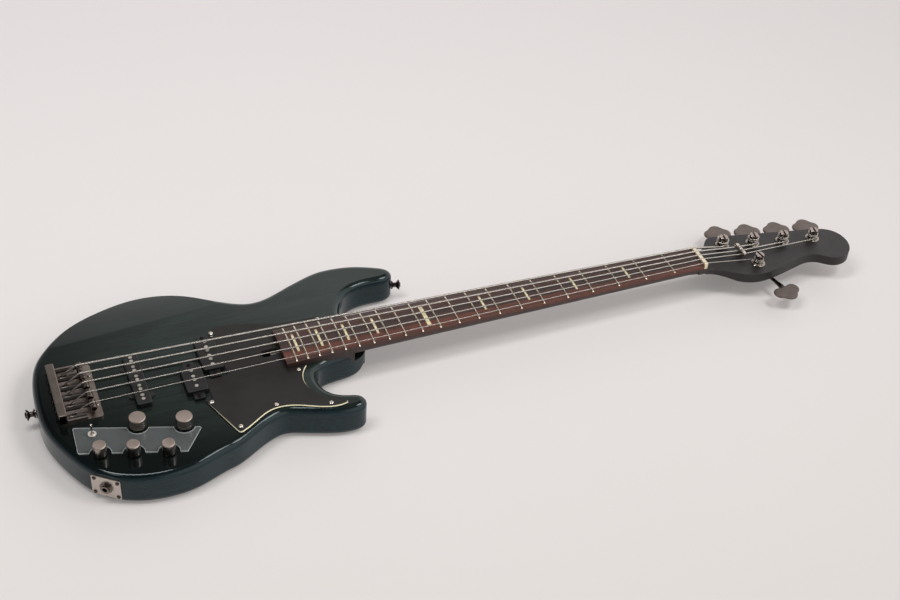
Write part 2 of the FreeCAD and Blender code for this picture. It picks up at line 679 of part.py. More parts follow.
def make_fingerboard():
    """Fingerboard blank with pockets for the inlays, the inlay bars and the frets."""
    body = new_body("fingerboard")
    body_end = board_section(BOARD_END)
    nut_end = board_section(NUT_FRONT)
    low = add_sketch(body, "board_body_end", "YZ_Plane", body_end, lift="sizes.board_end_from_scale")
    high = add_sketch(body, "board_nut_end", "YZ_Plane", nut_end, lift="sizes.scale_length")
    add_loft(body, "board_blank", low, high)
    pockets = [line for limits in inlay_boxes() for line in polygon(rectangle(*limits))]
    sketch = add_sketch(body, "inlay_pockets", "XY_Plane", pockets, lift=f"{BOARD_TOP + 1}")
    add_feature(body, "Pocket", "inlay_pockets_cut", sketch, "sizes.inlay_depth + 1")
    keep(body, "fingerboard")
    centre = Vector(0, 0, BOARD_TOP - size("board_radius"))
    crown = rod(centre, ALONG, size("board_radius"), NUT_FRONT)
    floor = BOARD_TOP - size("inlay_depth")
    bars = []
    for x0, x1, y0, y1 in inlay_boxes():
        bar = box(x0 + SEAT, x1 - SEAT, y0 + SEAT, y1 - SEAT, floor, BOARD_TOP + 1)
        bars.append(bar.common(crown))
    feature_of("inlays", bars)
    frets = []
    for number in range(1, int(size("fret_count")) + 1):
        x = fret_place(number)
        seat = BOARD_TOP + SEAT
        reach = size("fret_width") / 2
        crest = Vector(x, 0, seat + size("fret_rise"))
        bow = Part.Arc(Vector(x - reach, 0, seat), crest, Vector(x + reach, 0, seat))
        chord = Part.LineSegment(Vector(x + reach, 0, seat), Vector(x - reach, 0, seat))
        face = Part.Face(Part.Wire([bow.toShape(), chord.toShape()]))
        angle = math.degrees(math.asin((half_width(x) - 0.5) / size("board_radius")))
        face.rotate(centre, ALONG, -angle)
        frets.append(face.revolve(centre, ALONG, 2 * angle))
    feature_of("frets", frets)


def make_nut():
    """Nut with a slot for each string that follows the string's fall behind it."""
    corner = Vector(NUT_FRONT, -size("nut_width") / 2, BOARD_BOTTOM)
    height = "sizes.board_thickness + sizes.string_rise_nut + 1.4"
    nut = bound_box("nut_blank", "sizes.nut_length", "sizes.nut_width", height, corner)
    doc.recompute()
    shape = nut.Shape
    for k in STRINGS:
        reach = GAUGES[k] / 2 + SEAT
        slot = box(-2, 14, -reach, reach, -reach, 6)
        fall = math.degrees(math.asin(-string_fall(k)))
        slot = placed(slot, Placement(Vector(NUT_FRONT, NUT_Y[k], NUT_Z[k]), Rotation(ACROSS, fall)))
        low, high = NUT_Y[k] - reach, NUT_Y[k] + reach
        level = box(NUT_FRONT - 1, NUT_FRONT + 2, low, high, NUT_Z[k] - reach, NUT_Z[k] + 6)
        sweep = math.degrees(math.atan2(string_lead(k).y, string_lead(k).x))
        slot.rotate(Vector(NUT_FRONT, NUT_Y[k], 0), UP, sweep)
        shape = shape.cut(slot).cut(level)
    feature_of("nut", [shape])


# strings

COIL_TURNS = [1.75, 2.25, 2.75, 2.75, 2.75]
COIL_START = HEAD_FACE + size("bushing_rise") + 0.4
LEVEL_RUN = 8.0


def coil_radius(k):
    """Radius of the winding's centre line on a post."""
    return size("post_radius") + GAP + 0.05 + GAUGES[k] / 2


def coil_slope(k):
    """Rise per length of the winding."""
    return (GAUGES[k] + size("coil_gap")) / (2 * math.pi * coil_radius(k))


def coil_touch(k):
    """Point where the string meets its winding, and its direction there seen from above."""
    nut = Vector(NUT_FRONT, NUT_Y[k], 0)
    reach = POSTS[k] - nut
    swing = HAND[k] * math.asin(coil_radius(k) / reach.Length)
    heading = math.atan2(reach.y, reach.x) - swing
    length = math.sqrt(reach.Length ** 2 - coil_radius(k) ** 2)
    lead = Vector(math.cos(heading), math.sin(heading), 0)
    touch = nut + lead * length
    touch.z = COIL_START + GAUGES[k] / 2
    return touch, lead


def string_points(k):
    """Corner points of a string from the back of the body to the start of its winding, with bend radii."""
    touch, lead = coil_touch(k)
    points = [Vector(size("string_exit"), BRIDGE_Y[k], 4.0),
              Vector(size("string_exit"), BRIDGE_Y[k], PLATE_TOP + 1.5),
              Vector(SADDLE_X[k] - size("saddle_travel") - 2, BRIDGE_Y[k], SADDLE_Z[k]),
              Vector(NUT_FRONT, NUT_Y[k], NUT_Z[k])]
    bends = [0, 4.0, 5.0, 15.0]
    if HAND[k] > 0 and k > 0:
        ahead = (RETAINER.x - NUT_FRONT) / lead.x
        held = Vector(NUT_FRONT, NUT_Y[k], 0) + lead * ahead
        held.z = RETAINER_UNDER - SEAT - GAUGES[k] / 2
        points.append(held)
        bends.append(15.0)
    start = touch - lead * LEVEL_RUN
    start.z = touch.z - LEVEL_RUN * coil_slope(k)
    points += [start, touch]
    bends += [15.0, 0]
    return points, bends


def string_lead(k):
    """Direction of a string behind the nut."""
    points, _ = string_points(k)
    return (points[4] - points[3]).normalize()


def string_fall(k):
    """Sine of a string's fall behind the nut."""
    return string_lead(k).z


def bent_path(points, bends):
    """Straight runs joined by tangent arcs."""
    edges = []
    last = points[0]
    for before, corner, after, radius in zip(points, points[1:], points[2:], bends[1:]):
        back = (before - corner).normalize()
        ahead = (after - corner).normalize()
        half = back.getAngle(ahead) / 2
        reach = radius / math.tan(half)
        middle = (back + ahead).normalize()
        tip = corner + middle * (radius / math.sin(half) - radius)
        start = corner + back * reach
        stop = corner + ahead * reach
        edges.append(Part.LineSegment(last, start).toShape())
        edges.append(Part.Arc(start, tip, stop).toShape())
        last = stop
    edges.append(Part.LineSegment(last, points[-1]).toShape())
    return edges


def winding_sleeve(k):
    """Plain sleeve that stands for the winding of a string on its post."""
    clear = 0.02
    inner = size("post_radius") + GAP + clear
    outer = inner + GAUGES[k] + 5 * clear
    low = COIL_START - 5 * clear
    high = COIL_START + GAUGES[k] + COIL_TURNS[k] * (GAUGES[k] + size("coil_gap"))
    ring = lathe([(inner, low), (outer, low), (outer, high), (inner, high)])
    return placed(ring, Placement(POSTS[k], Rotation()))


def make_strings():
    """Each string as one tube through bore, saddle, nut and post, with a sleeve for its winding."""
    solids = []
    for k in STRINGS:
        points, bends = string_points(k)
        path = Part.Wire(bent_path(points, bends))
        ring = Part.Wire(Part.makeCircle(GAUGES[k] / 2, points[0], UP))
        tube = path.makePipeShell([ring], True, False)
        solids.append(tube.fuse(winding_sleeve(k)).removeSplitter().Solids[0])
    feature_of("strings", solids)


# bridge

INTONATION_SIDE = 5.2
INTONATION_LEVEL = PLATE_TOP + 4.5
INTONATION_RADIUS = 1.5
SADDLE_REAR = 8.0
SADDLE_FRONT = 5.0
BLOCK_FRONT = size("plate_back") + size("tail_block_length")
BETWEEN_STRINGS = [size("bridge_spacing") * share for share in (1.5, 0.5, -0.5, -1.5)]
BRIDGE_SCREWS = [(1.5, BETWEEN_STRINGS[0]), (1.5, BETWEEN_STRINGS[3])]
BRIDGE_SCREWS += [(size("string_exit"), y) for y in BETWEEN_STRINGS[1:3]]
WALL_FRONT = -13.0


def make_bridge():
    """Bridge plate, tail block, saddles and their screws."""
    half = size("plate_width") / 2
    plate = new_body("bridge_plate")
    edge = rounded(rectangle(size("plate_back"), size("plate_front"), -half, half), 4)
    slots = [Part.Circle(Vector(size("string_exit"), y, 0), UP, 2.6) for y in BRIDGE_Y]
    screws = circles(BRIDGE_SCREWS, 1.5)
    sketch = add_sketch(plate, "bridge_plate_outline", "XY_Plane", edge + slots + screws, lift="sizes.body_thickness")
    add_feature(plate, "Pad", "bridge_plate_pad", sketch, "sizes.plate_thickness")
    wall_start = BLOCK_FRONT + SEAT
    inner = half - size("plate_wall")
    walls = polygon(rectangle(wall_start, WALL_FRONT, inner, half))
    walls += polygon(rectangle(wall_start, WALL_FRONT, -half, -inner))
    sketch = add_sketch(plate, "bridge_wall_outline", "XY_Plane", walls, lift=f"{PLATE_TOP}")
    add_feature(plate, "Pad", "bridge_wall_pad", sketch, "sizes.plate_wall_rise")
    keep(plate, "bridge_plate")
    block = new_body("bridge_tail_block")
    outline = rounded(rectangle(size("plate_back"), BLOCK_FRONT, -half, half), 2)
    lift = "sizes.body_thickness + sizes.plate_thickness"
    sketch = add_sketch(block, "tail_block_outline", "XY_Plane", outline, lift=lift)
    add_feature(block, "Pad", "tail_block_pad", sketch, "sizes.tail_block_height")
    bores = circles([(y + INTONATION_SIDE, INTONATION_LEVEL) for y in BRIDGE_Y], INTONATION_RADIUS + SEAT)
    block_front = "sizes.plate_back + sizes.tail_block_length + 1"
    sketch = add_sketch(block, "intonation_bores", "YZ_Plane", bores, lift=block_front)
    add_feature(block, "Pocket", "intonation_bores_cut", sketch, "sizes.tail_block_length + 2")
    block_top = PLATE_TOP + size("tail_block_height")
    round_edges(block, "tail_block_rounding", lambda e: e.BoundBox.ZMin > block_top - 0.1, "1.2")
    keep(block, "bridge_tail_block")
    shafts = []
    for k in STRINGS:
        tip = SADDLE_X[k] - SADDLE_REAR + 4
        head = size("plate_back") - 0.1
        base = Vector(head, BRIDGE_Y[k] + INTONATION_SIDE, INTONATION_LEVEL)
        shafts.append(placed(screw(2.8, 2.0, INTONATION_RADIUS, tip - head), along(Vector(-1, 0, 0), base)))
    feature_of("intonation_screws", shafts)
    low_head = screw(2.2, 1.2, 1.4, 2.9)
    feature_of("bridge_screws", [placed(low_head, shift(x, y, PLATE_TOP)) for x, y in BRIDGE_SCREWS])
    for k in STRINGS:
        make_saddle(k)


def make_saddle(k):
    """Saddle block with a grooved crest, and its two height screws."""
    name = f"saddle_{k + 1}"
    body = new_body(name + "_block")
    x = SADDLE_X[k]
    y = BRIDGE_Y[k]
    crest = SADDLE_Z[k] - GAUGES[k] / 2 - GAP
    top = crest + 0.9
    bottom = PLATE_TOP + 1.5
    outline = rounded(rectangle(x - SADDLE_REAR, x + SADDLE_FRONT, bottom, top), 0.8)
    sketch = add_sketch(body, name + "_side", "XZ_Plane", outline, lift=f"{-y} - sizes.saddle_width / 2")
    add_feature(body, "Pad", name + "_pad", sketch, "sizes.saddle_width")
    groove_half = GAUGES[k] / 2 + 0.8
    groove = [(x - SADDLE_REAR - 1, top + 2), (x - SADDLE_REAR - 1, crest - 6.5), (x, crest),
              (x + SADDLE_FRONT + 1, crest - 1), (x + SADDLE_FRONT + 1, top + 2)]
    sketch = add_sketch(body, name + "_groove", "XZ_Plane", polygon(groove), lift=f"{-y - groove_half}")
    add_feature(body, "Pocket", name + "_groove_cut", sketch, f"{2 * groove_half}", True)
    places = [(x + 2.6, y + INTONATION_SIDE), (x + 2.6, y - INTONATION_SIDE)]
    sketch = add_sketch(body, name + "_bores", "XY_Plane", circles(places, 1.5 + SEAT), lift=f"{top + 1}")
    add_feature(body, "Pocket", name + "_bores_cut", sketch, "30")
    bore = circles([(y + INTONATION_SIDE, INTONATION_LEVEL)], INTONATION_RADIUS + GAP)
    sketch = add_sketch(body, name + "_screw_bore", "YZ_Plane", bore, lift=f"{x - SADDLE_REAR - 1}")
    add_feature(body, "Pocket", name + "_screw_bore_cut", sketch, "8.6", True)
    members = [body]
    for i, (px, py) in enumerate(places):
        base = Placement(Vector(px, py, PLATE_TOP + SEAT), Rotation())
        members.append(bound_cylinder(f"{name}_height_screw_{i + 1}", "1.5", f"{top - PLATE_TOP - 1}", base))
    group_of(name, members)


# pickups

def make_pickups():
    """Covers with their tabs, coils, pole pieces and fixing screws."""
    tabs_split = []
    covers_split = []
    coils = []
    poles = []
    wall = size("pickup_wall")
    top = BODY_TOP + size("pickup_rise")
    bottom = BODY_TOP - size("pickup_cavity_depth") + 1
    for (x, y0, y1, pole_y), width, tabbed in ((SPLIT_BASS, "split_pickup_width", True),
                                               (SPLIT_TREBLE, "split_pickup_width", True),
                                               (BRIDGE_PICKUP, "bridge_pickup_width", False)):
        half = size(width) / 2
        cover = box(x - half, x + half, y0, y1, bottom, top)
        upright = [e for e in cover.Edges if e.BoundBox.ZLength > 1]
        cover = cover.makeFillet(2.5, upright)
        rim = [e for e in cover.Edges if e.BoundBox.ZMin > top - 0.01]
        cover = cover.makeFillet(1.0, rim)
        if tabbed:
            for y_from, y_to in ((y0 - TAB, y0 + 3), (y1 - 3, y1 + TAB)):
                cover = cover.fuse(box(x - TAB_HALF, x + TAB_HALF, y_from, y_to, GUARD_TOP + SEAT, GUARD_TOP + 2))
                tabs_split.append((x, y_from + 5.0 if y_from < y0 else y_to - 5.0))
        else:
            for side, y_ear in ((-1, 26), (1, 22), (1, -28), (-1, -24)):
                ear = rod(Vector(x + side * (half + 1.5), y_ear, BODY_TOP + SEAT), UP, 5.0, 2.0)
                cover = cover.fuse(ear)
        hollow = box(x - half + wall, x + half - wall, y0 + wall, y1 - wall, bottom - 1, top - wall)
        cover = cover.cut(hollow)
        skin = wall + GAP
        coil = box(x - half + skin, x + half - skin, y0 + skin, y1 - skin, bottom, top - skin)
        for y in pole_y:
            hole = rod(Vector(x, y, bottom - 2), UP, size("pole_radius") + SEAT, top - bottom + 4)
            cover = cover.cut(hole)
            coil = coil.cut(hole)
            poles.append(rod(Vector(x, y, bottom), UP, size("pole_radius"), top - bottom + 0.5))
        coils.append(coil)
        covers_split.append(cover.removeSplitter())
    for x, y in tabs_split:
        hole = rod(Vector(x, y, GUARD_TOP - 1), UP, 1.5, 4)
        covers_split = [c.cut(hole) for c in covers_split]
    feature_of("split_pickup_covers", covers_split[:2])
    feature_of("bridge_pickup_cover", covers_split[2:])
    feature_of("pickup_coils", coils)
    feature_of("pole_pieces", poles)
    pan = screw(2.6, 1.4, 1.4, 1.9)
    heads = [placed(pan, Placement(Vector(x, y, GUARD_TOP + 2), Rotation())) for x, y in tabs_split]
    feature_of("pickup_screws", heads)


# pickguard

GUARD_BASS_EDGE = [(163.5, 57), (167, 66), (180, 71), (200, 69.5), (224, 63), (248, 55.5), (280, 52), (311, 51)]
GUARD_CUTAWAY = [(268, -38), (260, -50), (257, -65), (260, -79), (268, -92), (281, -103), (298, -114)]
GUARD_TREBLE_EDGE = [(298, -118), (290, -120), (277, -119.5), (258, -113.5), (237, -104.5), (220, -100.5),
                     (203, -102), (188, -109.5), (163, -125.5)]
GUARD_SCREWS = [(167, 60), (136, -66), (159, -118), (211, -95), (277, -113), (256, -42), (309, 45)]


def guard_outline():
    """Outline of the pickguard, stepped round the pickup halves and cut out for the neck."""
    neck_gap = 0.6
    end = half_width(BOARD_END) + neck_gap
    far = half_width(311) + neck_gap
    near = half_width(268) + neck_gap
    half = size("split_pickup_width") / 2 + 0.6
    right_of_bass = SPLIT_BASS[0] + half
    right_of_treble = SPLIT_TREBLE[0] + half
    below_bass = SPLIT_BASS[1] - TAB - 0.8
    below_treble = SPLIT_TREBLE[1] - TAB - 3.5
    above_bass = SPLIT_BASS[2] + TAB + 0.8
    front = BOARD_END - neck_gap
    neck_side = [(311, 51), (316, 47), (316, far), (front, end), (front, -end), (268, -near), (268, -38)]
    tip = [(298, -114), (298, -118)]
    steps = [(163, -125.5), (159.5, -127.5), (156.5, -127.5), (154, -125), (128.5, below_treble),
             (right_of_treble, below_treble), (right_of_treble, below_bass), (right_of_bass, below_bass),
             (right_of_bass, above_bass - 4), (163.5, above_bass - 4), (163.5, 57)]
    curves = [spline(GUARD_BASS_EDGE)]
    curves += [Part.LineSegment(flat(a), flat(b)) for a, b in zip(neck_side, neck_side[1:])]
    curves.append(spline(GUARD_CUTAWAY))
    curves += [Part.LineSegment(flat(a), flat(b)) for a, b in zip(tip, tip[1:])]
    curves.append(spline(GUARD_TREBLE_EDGE))
    curves += [Part.LineSegment(flat(a), flat(b)) for a, b in zip(steps, steps[1:])]
    return curves


def make_pickguard():
    """Two plies of the pickguard and its screws."""
    slot = sheet_of(rounded(rectangle(ROD_SLOT_START, BOARD_END + 6, -5.6, 5.6), 4))
    outer = sheet_of(guard_outline()).cut(slot).Faces[0]
    inset = outer.makeOffset2D(-size("guard_line"))
    plain = (Part.Line, Part.Circle)
    edges = [e if isinstance(e.Curve, plain) else e.toNurbs().Edges[0] for e in inset.OuterWire.OrderedEdges]
    inner = Part.Face(Part.Wire(edges))
    ply = size("guard_ply")
    bores = [rod(Vector(x, y, BODY_TOP - 1), UP, 1.5, 2 * ply + 2) for x, y in GUARD_SCREWS]
    plies = (("pickguard_lower_ply", outer, BODY_TOP), ("pickguard_top_ply", inner, BODY_TOP + ply))
    for label, outline, level in plies:
        blank = outline.extrude(UP * ply)
        blank.translate(UP * level)
        feature_of(label, [blank.cut(bores).Solids[0]])
    pan = screw(2.7, 1.3, 1.4, 2 * ply - 0.1)
    feature_of("pickguard_screws", [placed(pan, shift(x, y, GUARD_TOP)) for x, y in GUARD_SCREWS])


# controls

def make_controls():
    """Clear control plate notched round the knobs, pots with nuts, knobs and the toggle switch."""
    plate = new_body("control_plate")
    outline = rounded(CONTROL_CORNERS, 2)
    sketch = add_sketch(plate, "control_plate_outline", "XY_Plane", outline, lift="sizes.body_thickness")
    add_feature(plate, "Pad", "control_plate_pad", sketch, "sizes.control_plate_thickness")
    notches = circles([k[:2] for k in KNOBS], KNOB_NOTCH) + circles([TOGGLE], SWITCH_BUSH + SEAT)
    sketch = add_sketch(plate, "control_plate_notches", "XY_Plane", notches, lift="sizes.body_thickness")
    add_feature(plate, "Pocket", "control_plate_notches_cut", sketch, "sizes.control_plate_thickness + 1", True)
    keep(plate, "control_plate")
    shaft = size("shaft_radius")
    bore = shaft + size("shaft_gap")
    roof = CAVITY_ROOF - SEAT
    can = POT_FLOOR
    bush_top = BODY_TOP + 5.4
    nut_low = BODY_TOP + SEAT
    wide = size("pot_radius")
    pot = [(bore, can + 2), (0, can + 2), (0, can), (wide, can), (wide, roof), (POT_BUSH, roof),
           (POT_BUSH, bush_top), (bore, bush_top)]
    nut = [(POT_BUSH + SEAT, nut_low), (5.6, nut_low), (5.6, nut_low + 1.8), (POT_BUSH + SEAT, nut_low + 1.8)]
    members = []
    for i, (x, y, radius) in enumerate(KNOBS):
        here = Placement(Vector(x, y, 0), Rotation())
        members.append(turned_body(f"pot_{i + 1}", pot, here))
        members.append(turned_body(f"pot_nut_{i + 1}", nut, here))
        low = BODY_TOP + size("knob_rise")
        top = low + size("knob_height")
        recess = bush_top + 0.5
        cap = [(6.6, low), (radius - 0.4, low), (radius, low + 0.4), (radius, top - 1.2), (radius - 1.2, top),
               (0, top), (0, top - 3), (shaft + SEAT, top - 3), (shaft + SEAT, recess), (6.6, recess)]
        knob = turned_body(KNOB_NAMES[i] + "_cap", cap, here)
        base = Placement(Vector(x, y, can + 2.3), Rotation())
        pin = bound_cylinder(KNOB_NAMES[i] + "_shaft", "sizes.shaft_radius", f"{top - 3.1 - can - 2.3}", base)
        group_of(KNOB_NAMES[i], [knob, pin])
    group_of("pots", members)
    make_toggle()


PIVOT = Vector(TOGGLE[0], TOGGLE[1], CONTROL_TOP + 1.5)


def make_toggle():
    """Switch body with its bushing and nut, and the lever on its pivot ball."""
    here = Placement(Vector(TOGGLE[0], TOGGLE[1], 0), Rotation())
    bush_top = CONTROL_TOP + 3.0
    ball = 1.7
    throat = ball + GAP
    roof = CAVITY_ROOF - SEAT
    shell = [(0, roof - 12), (6.3, roof - 12), (6.3, roof), (SWITCH_BUSH, roof), (SWITCH_BUSH, bush_top),
             (throat + 0.6, bush_top), (throat, PIVOT.z), (throat, PIVOT.z - 4), (0, PIVOT.z - 4)]
    switch = turned_body("switch_shell", shell, here)
    low = CONTROL_TOP + SEAT
    inner = SWITCH_BUSH + SEAT
    nut = turned_body("switch_nut", [(inner, low), (5.2, low), (5.2, low + 1.8), (inner, low + 1.8)], here)
    group_of("toggle_switch", [switch, nut])
    lever = lathe([(0, -0.2), (0.75, -0.2), (0.75, 6), (1.5, 14.5), (1.2, 15.6), (0, 16)])
    lever = lever.fuse(Part.makeSphere(ball)).removeSplitter()
    feature_of("toggle_lever", [placed(lever, Placement(PIVOT, Rotation()))])


def make_electronics():
    """Preamp board, battery and cavity cover inside the body; gives back the cover's screws."""
    board_thickness = 1.6
    corner = Vector(58, -136, POT_FLOOR - board_thickness)
    board = bound_box("preamp_board", "36", "32", f"{board_thickness}", corner)
    keep(board, "preamp_board")
    cell = bound_box("battery", "48.5", "26.5", "17.5", Vector(5, -118, 3.2))
    keep(cell, "battery")
    cover = new_body("cavity_cover")
    inset = 0.4
    middle_x = sum(p[0] for p in COVER) / len(COVER)
    middle_y = sum(p[1] for p in COVER) / len(COVER)
    shrink = 1 - inset / 60
    edge = [(middle_x + (x - middle_x) * shrink, middle_y + (y - middle_y) * shrink) for x, y in COVER]
    outline = rounded(edge, 6) + circles(COVER_SCREWS, 1.4)
    sketch = add_sketch(cover, "cavity_cover_outline", "XY_Plane", outline, lift="0.3")
    add_feature(cover, "Pad", "cavity_cover_pad", sketch, "sizes.cover_thickness")
    keep(cover, "cavity_cover")
    shank = rod(ORIGIN, UP, 1.2, 9)
    return [placed(shank, Placement(Vector(x, y, 0.4), Rotation())) for x, y in COVER_SCREWS]


# jack, strap buttons and back hardware

def make_jack(cover_screws):
    """Jack plate on the side, the jack, its nut, and the small screws of both plates."""
    out = along(JACK_OUT, JACK_SEAT)
    spin = Placement(JACK_SEAT, Rotation(JACK_ACROSS, UP, JACK_OUT, "ZXY"))
    half_w = size("jack_plate_width") / 2
    half_h = size("jack_plate_height") / 2
    thick = size("jack_plate_thickness")
    corners = [(sx * (half_w - 4), sy * (half_h - 4)) for sx in (-1, 1) for sy in (-1, 1)]
    plate = new_body("jack_plate")
    outline = rounded(rectangle(-half_w, half_w, -half_h, half_h), 2)
    outline += circles([(0, 0)], 5.6) + circles(corners, 1.4)
    sketch = add_sketch(plate, "jack_plate_outline", "XY_Plane", outline)
    add_feature(plate, "Pad", "jack_plate_pad", sketch, "sizes.jack_plate_thickness")
    plate.Placement = spin
    keep(plate, "jack_plate")
    pan = screw(2.5, 1.3, 1.3, thick - 0.1)
    screws = [placed(pan, spin.multiply(Placement(Vector(x, y, thick), Rotation()))) for x, y in corners]
    feature_of("plate_screws", screws + cover_screws)
    bore = size("jack_bore_radius")
    barrel = [(bore, -18), (8.5, -18), (8.5, -SEAT), (5.5, -SEAT), (5.5, thick + 4.5), (bore, thick + 4.5)]
    socket = turned_body("jack_barrel", barrel, out)
    keep(socket, "jack_socket")
    hexagon = [(8.2 * math.cos(math.radians(60 * i)), 8.2 * math.sin(math.radians(60 * i))) for i in range(6)]
    nut = new_body("jack_nut")
    outline = polygon(hexagon) + circles([(0, 0)], 5.6)
    sketch = add_sketch(nut, "jack_nut_outline", "XY_Plane", outline, lift="sizes.jack_plate_thickness")
    add_feature(nut, "Pad", "jack_nut_pad", sketch, "3")
    nut.Placement = out
    keep(nut, "jack_nut")


def make_back_hardware():
    """Strap buttons, ferrules, neck plate, neck screws and truss rod."""
    bore = STRAP_SCREW + SEAT
    button = lathe([(bore, 0.1), (6.0, 0.1), (6.0, 1.5), (3.4, 3.5), (3.4, 7), (7.2, 10), (7.2, 11), (6.4, 11.6),
                    (bore, 11.6)])
    pin = lathe([(0, -22), (STRAP_SCREW, -22), (STRAP_SCREW, 11.7), (4.2, 11.7), (3.2, 13.2), (0, 13.6)])
    places = [along(out, seat) for seat, out in (STRAP_TAIL, STRAP_HORN)]
    feature_of("strap_buttons", [placed(button, place) for place in places])
    feature_of("strap_screws", [placed(pin, place) for place in places])
    cup = lathe([(2.1, 0.3), (FERRULE, 0.3), (FERRULE, 9.8), (2.1, 9.8)])
    feature_of("string_ferrules", [placed(cup, shift(size("string_exit"), y, 0)) for y in BRIDGE_Y])
    plate = new_body("neck_plate")
    x0, x1, y0, y1 = NECK_PLATE
    outline = rounded(rectangle(x0 + GAP, x1 - GAP, y0 + GAP, y1 - GAP), 6) + circles(NECK_SCREWS, 2.6)
    sketch = add_sketch(plate, "neck_plate_outline", "XY_Plane", outline, lift="0.3")
    add_feature(plate, "Pad", "neck_plate_pad", sketch, "2")
    keep(plate, "neck_plate")
    bolt = rod(ORIGIN, UP, 2.1, HEEL_BOTTOM + 13)
    feature_of("neck_screws", [placed(bolt, shift(x, y, 0.4)) for x, y in NECK_SCREWS])
    rod_radius = 2.4
    level = BOARD_BOTTOM - ROD_CHANNEL + rod_radius + SEAT
    bar = rod(Vector(BOARD_END - 3, 0, level), ALONG, rod_radius, NUT_FRONT - 22 - BOARD_END)
    wheel = rod(Vector(BOARD_END - 13, 0, level), ALONG, 4.2, 12)
    feature_of("truss_rod", [bar.fuse(wheel)])


# tuners

GEAR_TEETH = 20


def make_tuners():
    """Posts with gears, keys with worm shafts, bushings, base plates and screws."""
    plates = []
    bushings = []
    plate_low = HEAD_BACK - size("tuner_plate_thickness")
    gear_top = plate_low - GAP
    gear_low = gear_top - size("gear_thickness")
    gear = size("gear_radius")
    post = size("post_radius")
    post_top = HEAD_FACE + size("post_rise")
    bush = size("bushing_radius")
    bush_top = HEAD_FACE + size("bushing_rise")
    shaft = size("worm_shaft_radius")
    offset = size("worm_offset")
    for k in STRINGS:
        spin = tuner_place(k)
        hand = HAND[k]
        body = new_body(f"tuner_post_{k + 1}")
        profile = [(0, gear_low), (gear, gear_low), (gear, gear_top), (post, gear_top), (post, post_top - 2.4),
                   (post + 1.0, post_top - 1.8), (post + 1.0, post_top - 0.5), (post + 0.5, post_top), (0, post_top)]
        sketch = add_sketch(body, f"post_profile_{k + 1}", "XZ_Plane", polygon(profile))
        turn = body.newObject("PartDesign::Revolution", f"post_turn_{k + 1}")
        turn.Profile = sketch
        turn.ReferenceAxis = (sketch, ["V_Axis"])
        turn.Angle = 360.0
        body.Tip = turn
        slot = polygon(rectangle(-1.5, 1.5, -post - 3, post + 3))
        sketch = add_sketch(body, f"post_slot_{k + 1}", "XY_Plane", slot, lift=f"{post_top}")
        add_feature(body, "Pocket", f"post_slot_cut_{k + 1}", sketch, "4.5")
        gaps = [math.radians(360 / GEAR_TEETH * i) for i in range(GEAR_TEETH)]
        teeth = circles([(gear * math.cos(a), gear * math.sin(a)) for a in gaps], 0.9)
        sketch = add_sketch(body, f"post_teeth_{k + 1}", "XY_Plane", teeth, lift=f"{gear_low}")
        add_feature(body, "Pocket", f"post_teeth_cut_{k + 1}", sketch, "sizes.gear_thickness", True)
        body.Placement = spin
        keep(body, f"tuner_post_{k + 1}")
        make_key(k)
        reach = rounded(rectangle(*sorted((-13.5 * hand, 21.5 * hand)), -13, 13.5), 3)
        blank = sheet_of(reach).extrude(UP * size("tuner_plate_thickness"))
        blank.translate(UP * plate_low)
        for w in (-11.6, 8.6):
            lug = box(hand * offset - 4.5, hand * offset + 4.5, w, w + 3, WORM_LEVEL - 4.2, plate_low)
            blank = blank.fuse(lug)
        blank = blank.cut(rod(Vector(hand * offset, -20, WORM_LEVEL), ACROSS, shaft + size("shaft_gap"), 60))
        relief = rod(Vector(hand * offset, -8.4, WORM_LEVEL), ACROSS, size("worm_radius") + 0.5, 16.8)
        blank = blank.cut(relief)
        blank = blank.cut(rod(Vector(0, 0, plate_low - 1), UP, post + GAP, 6))
        for u, w in TUNER_SCREW_REACH:
            blank = blank.cut(rod(Vector(hand * u, w, plate_low - 1), UP, 1.3, 6))
        plates.append(placed(blank.removeSplitter(), spin))
        ring = lathe([(post + GAP, HEAD_FACE - 7), (8.4, HEAD_FACE - 7), (8.4, HEAD_FACE), (bush, HEAD_FACE),
                      (bush, HEAD_FACE + 1.2), (8.2, bush_top), (post + GAP, bush_top)])
        bushings.append(placed(ring, spin))
    feature_of("tuner_plates", plates)
    feature_of("tuner_bushings", bushings)
    pan = screw(2.4, 1.3, 1.2, 9)
    under = Rotation(UP, Vector(0, 0, -1))
    screws = [placed(pan, Placement(Vector(x, y, plate_low), under)) for x, y in TUNER_SCREWS]
    feature_of("headstock_screws", screws + make_retainer())


def make_key(k):
    """Clover key on its worm shaft."""
    shaft = size("worm_shaft_radius")
    thick = size("key_thickness")
    stem = rod(Vector(0, -12.2, 0), ACROSS, shaft, 48)
    worm = size("worm_radius")
    root = worm - 0.9
    rings = [(0, -8)]
    for i in range(8):
        rings += [(root, -8 + 2 * i), (worm, -7.5 + 2 * i), (worm, -6.5 + 2 * i), (root, -6 + 2 * i)]
    rings.append((0, 8))
    thread = placed(lathe(rings), along(ACROSS, ORIGIN))
    flare = placed(lathe([(0, 26), (shaft, 26), (3.4, 36), (4.2, 44), (0, 44)]), along(ACROSS, ORIGIN))
    lobes = [(-11.3, 51.5, 10.0), (11.3, 51.5, 10.0), (0, 60.3, 10.6), (0, 51, 10.0)]
    clover = None
    for x, y, radius in lobes:
        disc = rod(Vector(x, y, -thick / 2), UP, radius, thick)
        clover = disc if clover is None else clover.fuse(disc)
    clover = clover.removeSplitter()
    key = clover.fuse([stem, thread, flare]).removeSplitter()
    aside = Placement(Vector(HAND[k] * size("worm_offset"), 0, 0), Rotation())
    place = tuner_place(k, WORM_LEVEL).multiply(aside)
    feature_of(f"tuner_key_{k + 1}", [placed(key, place)])


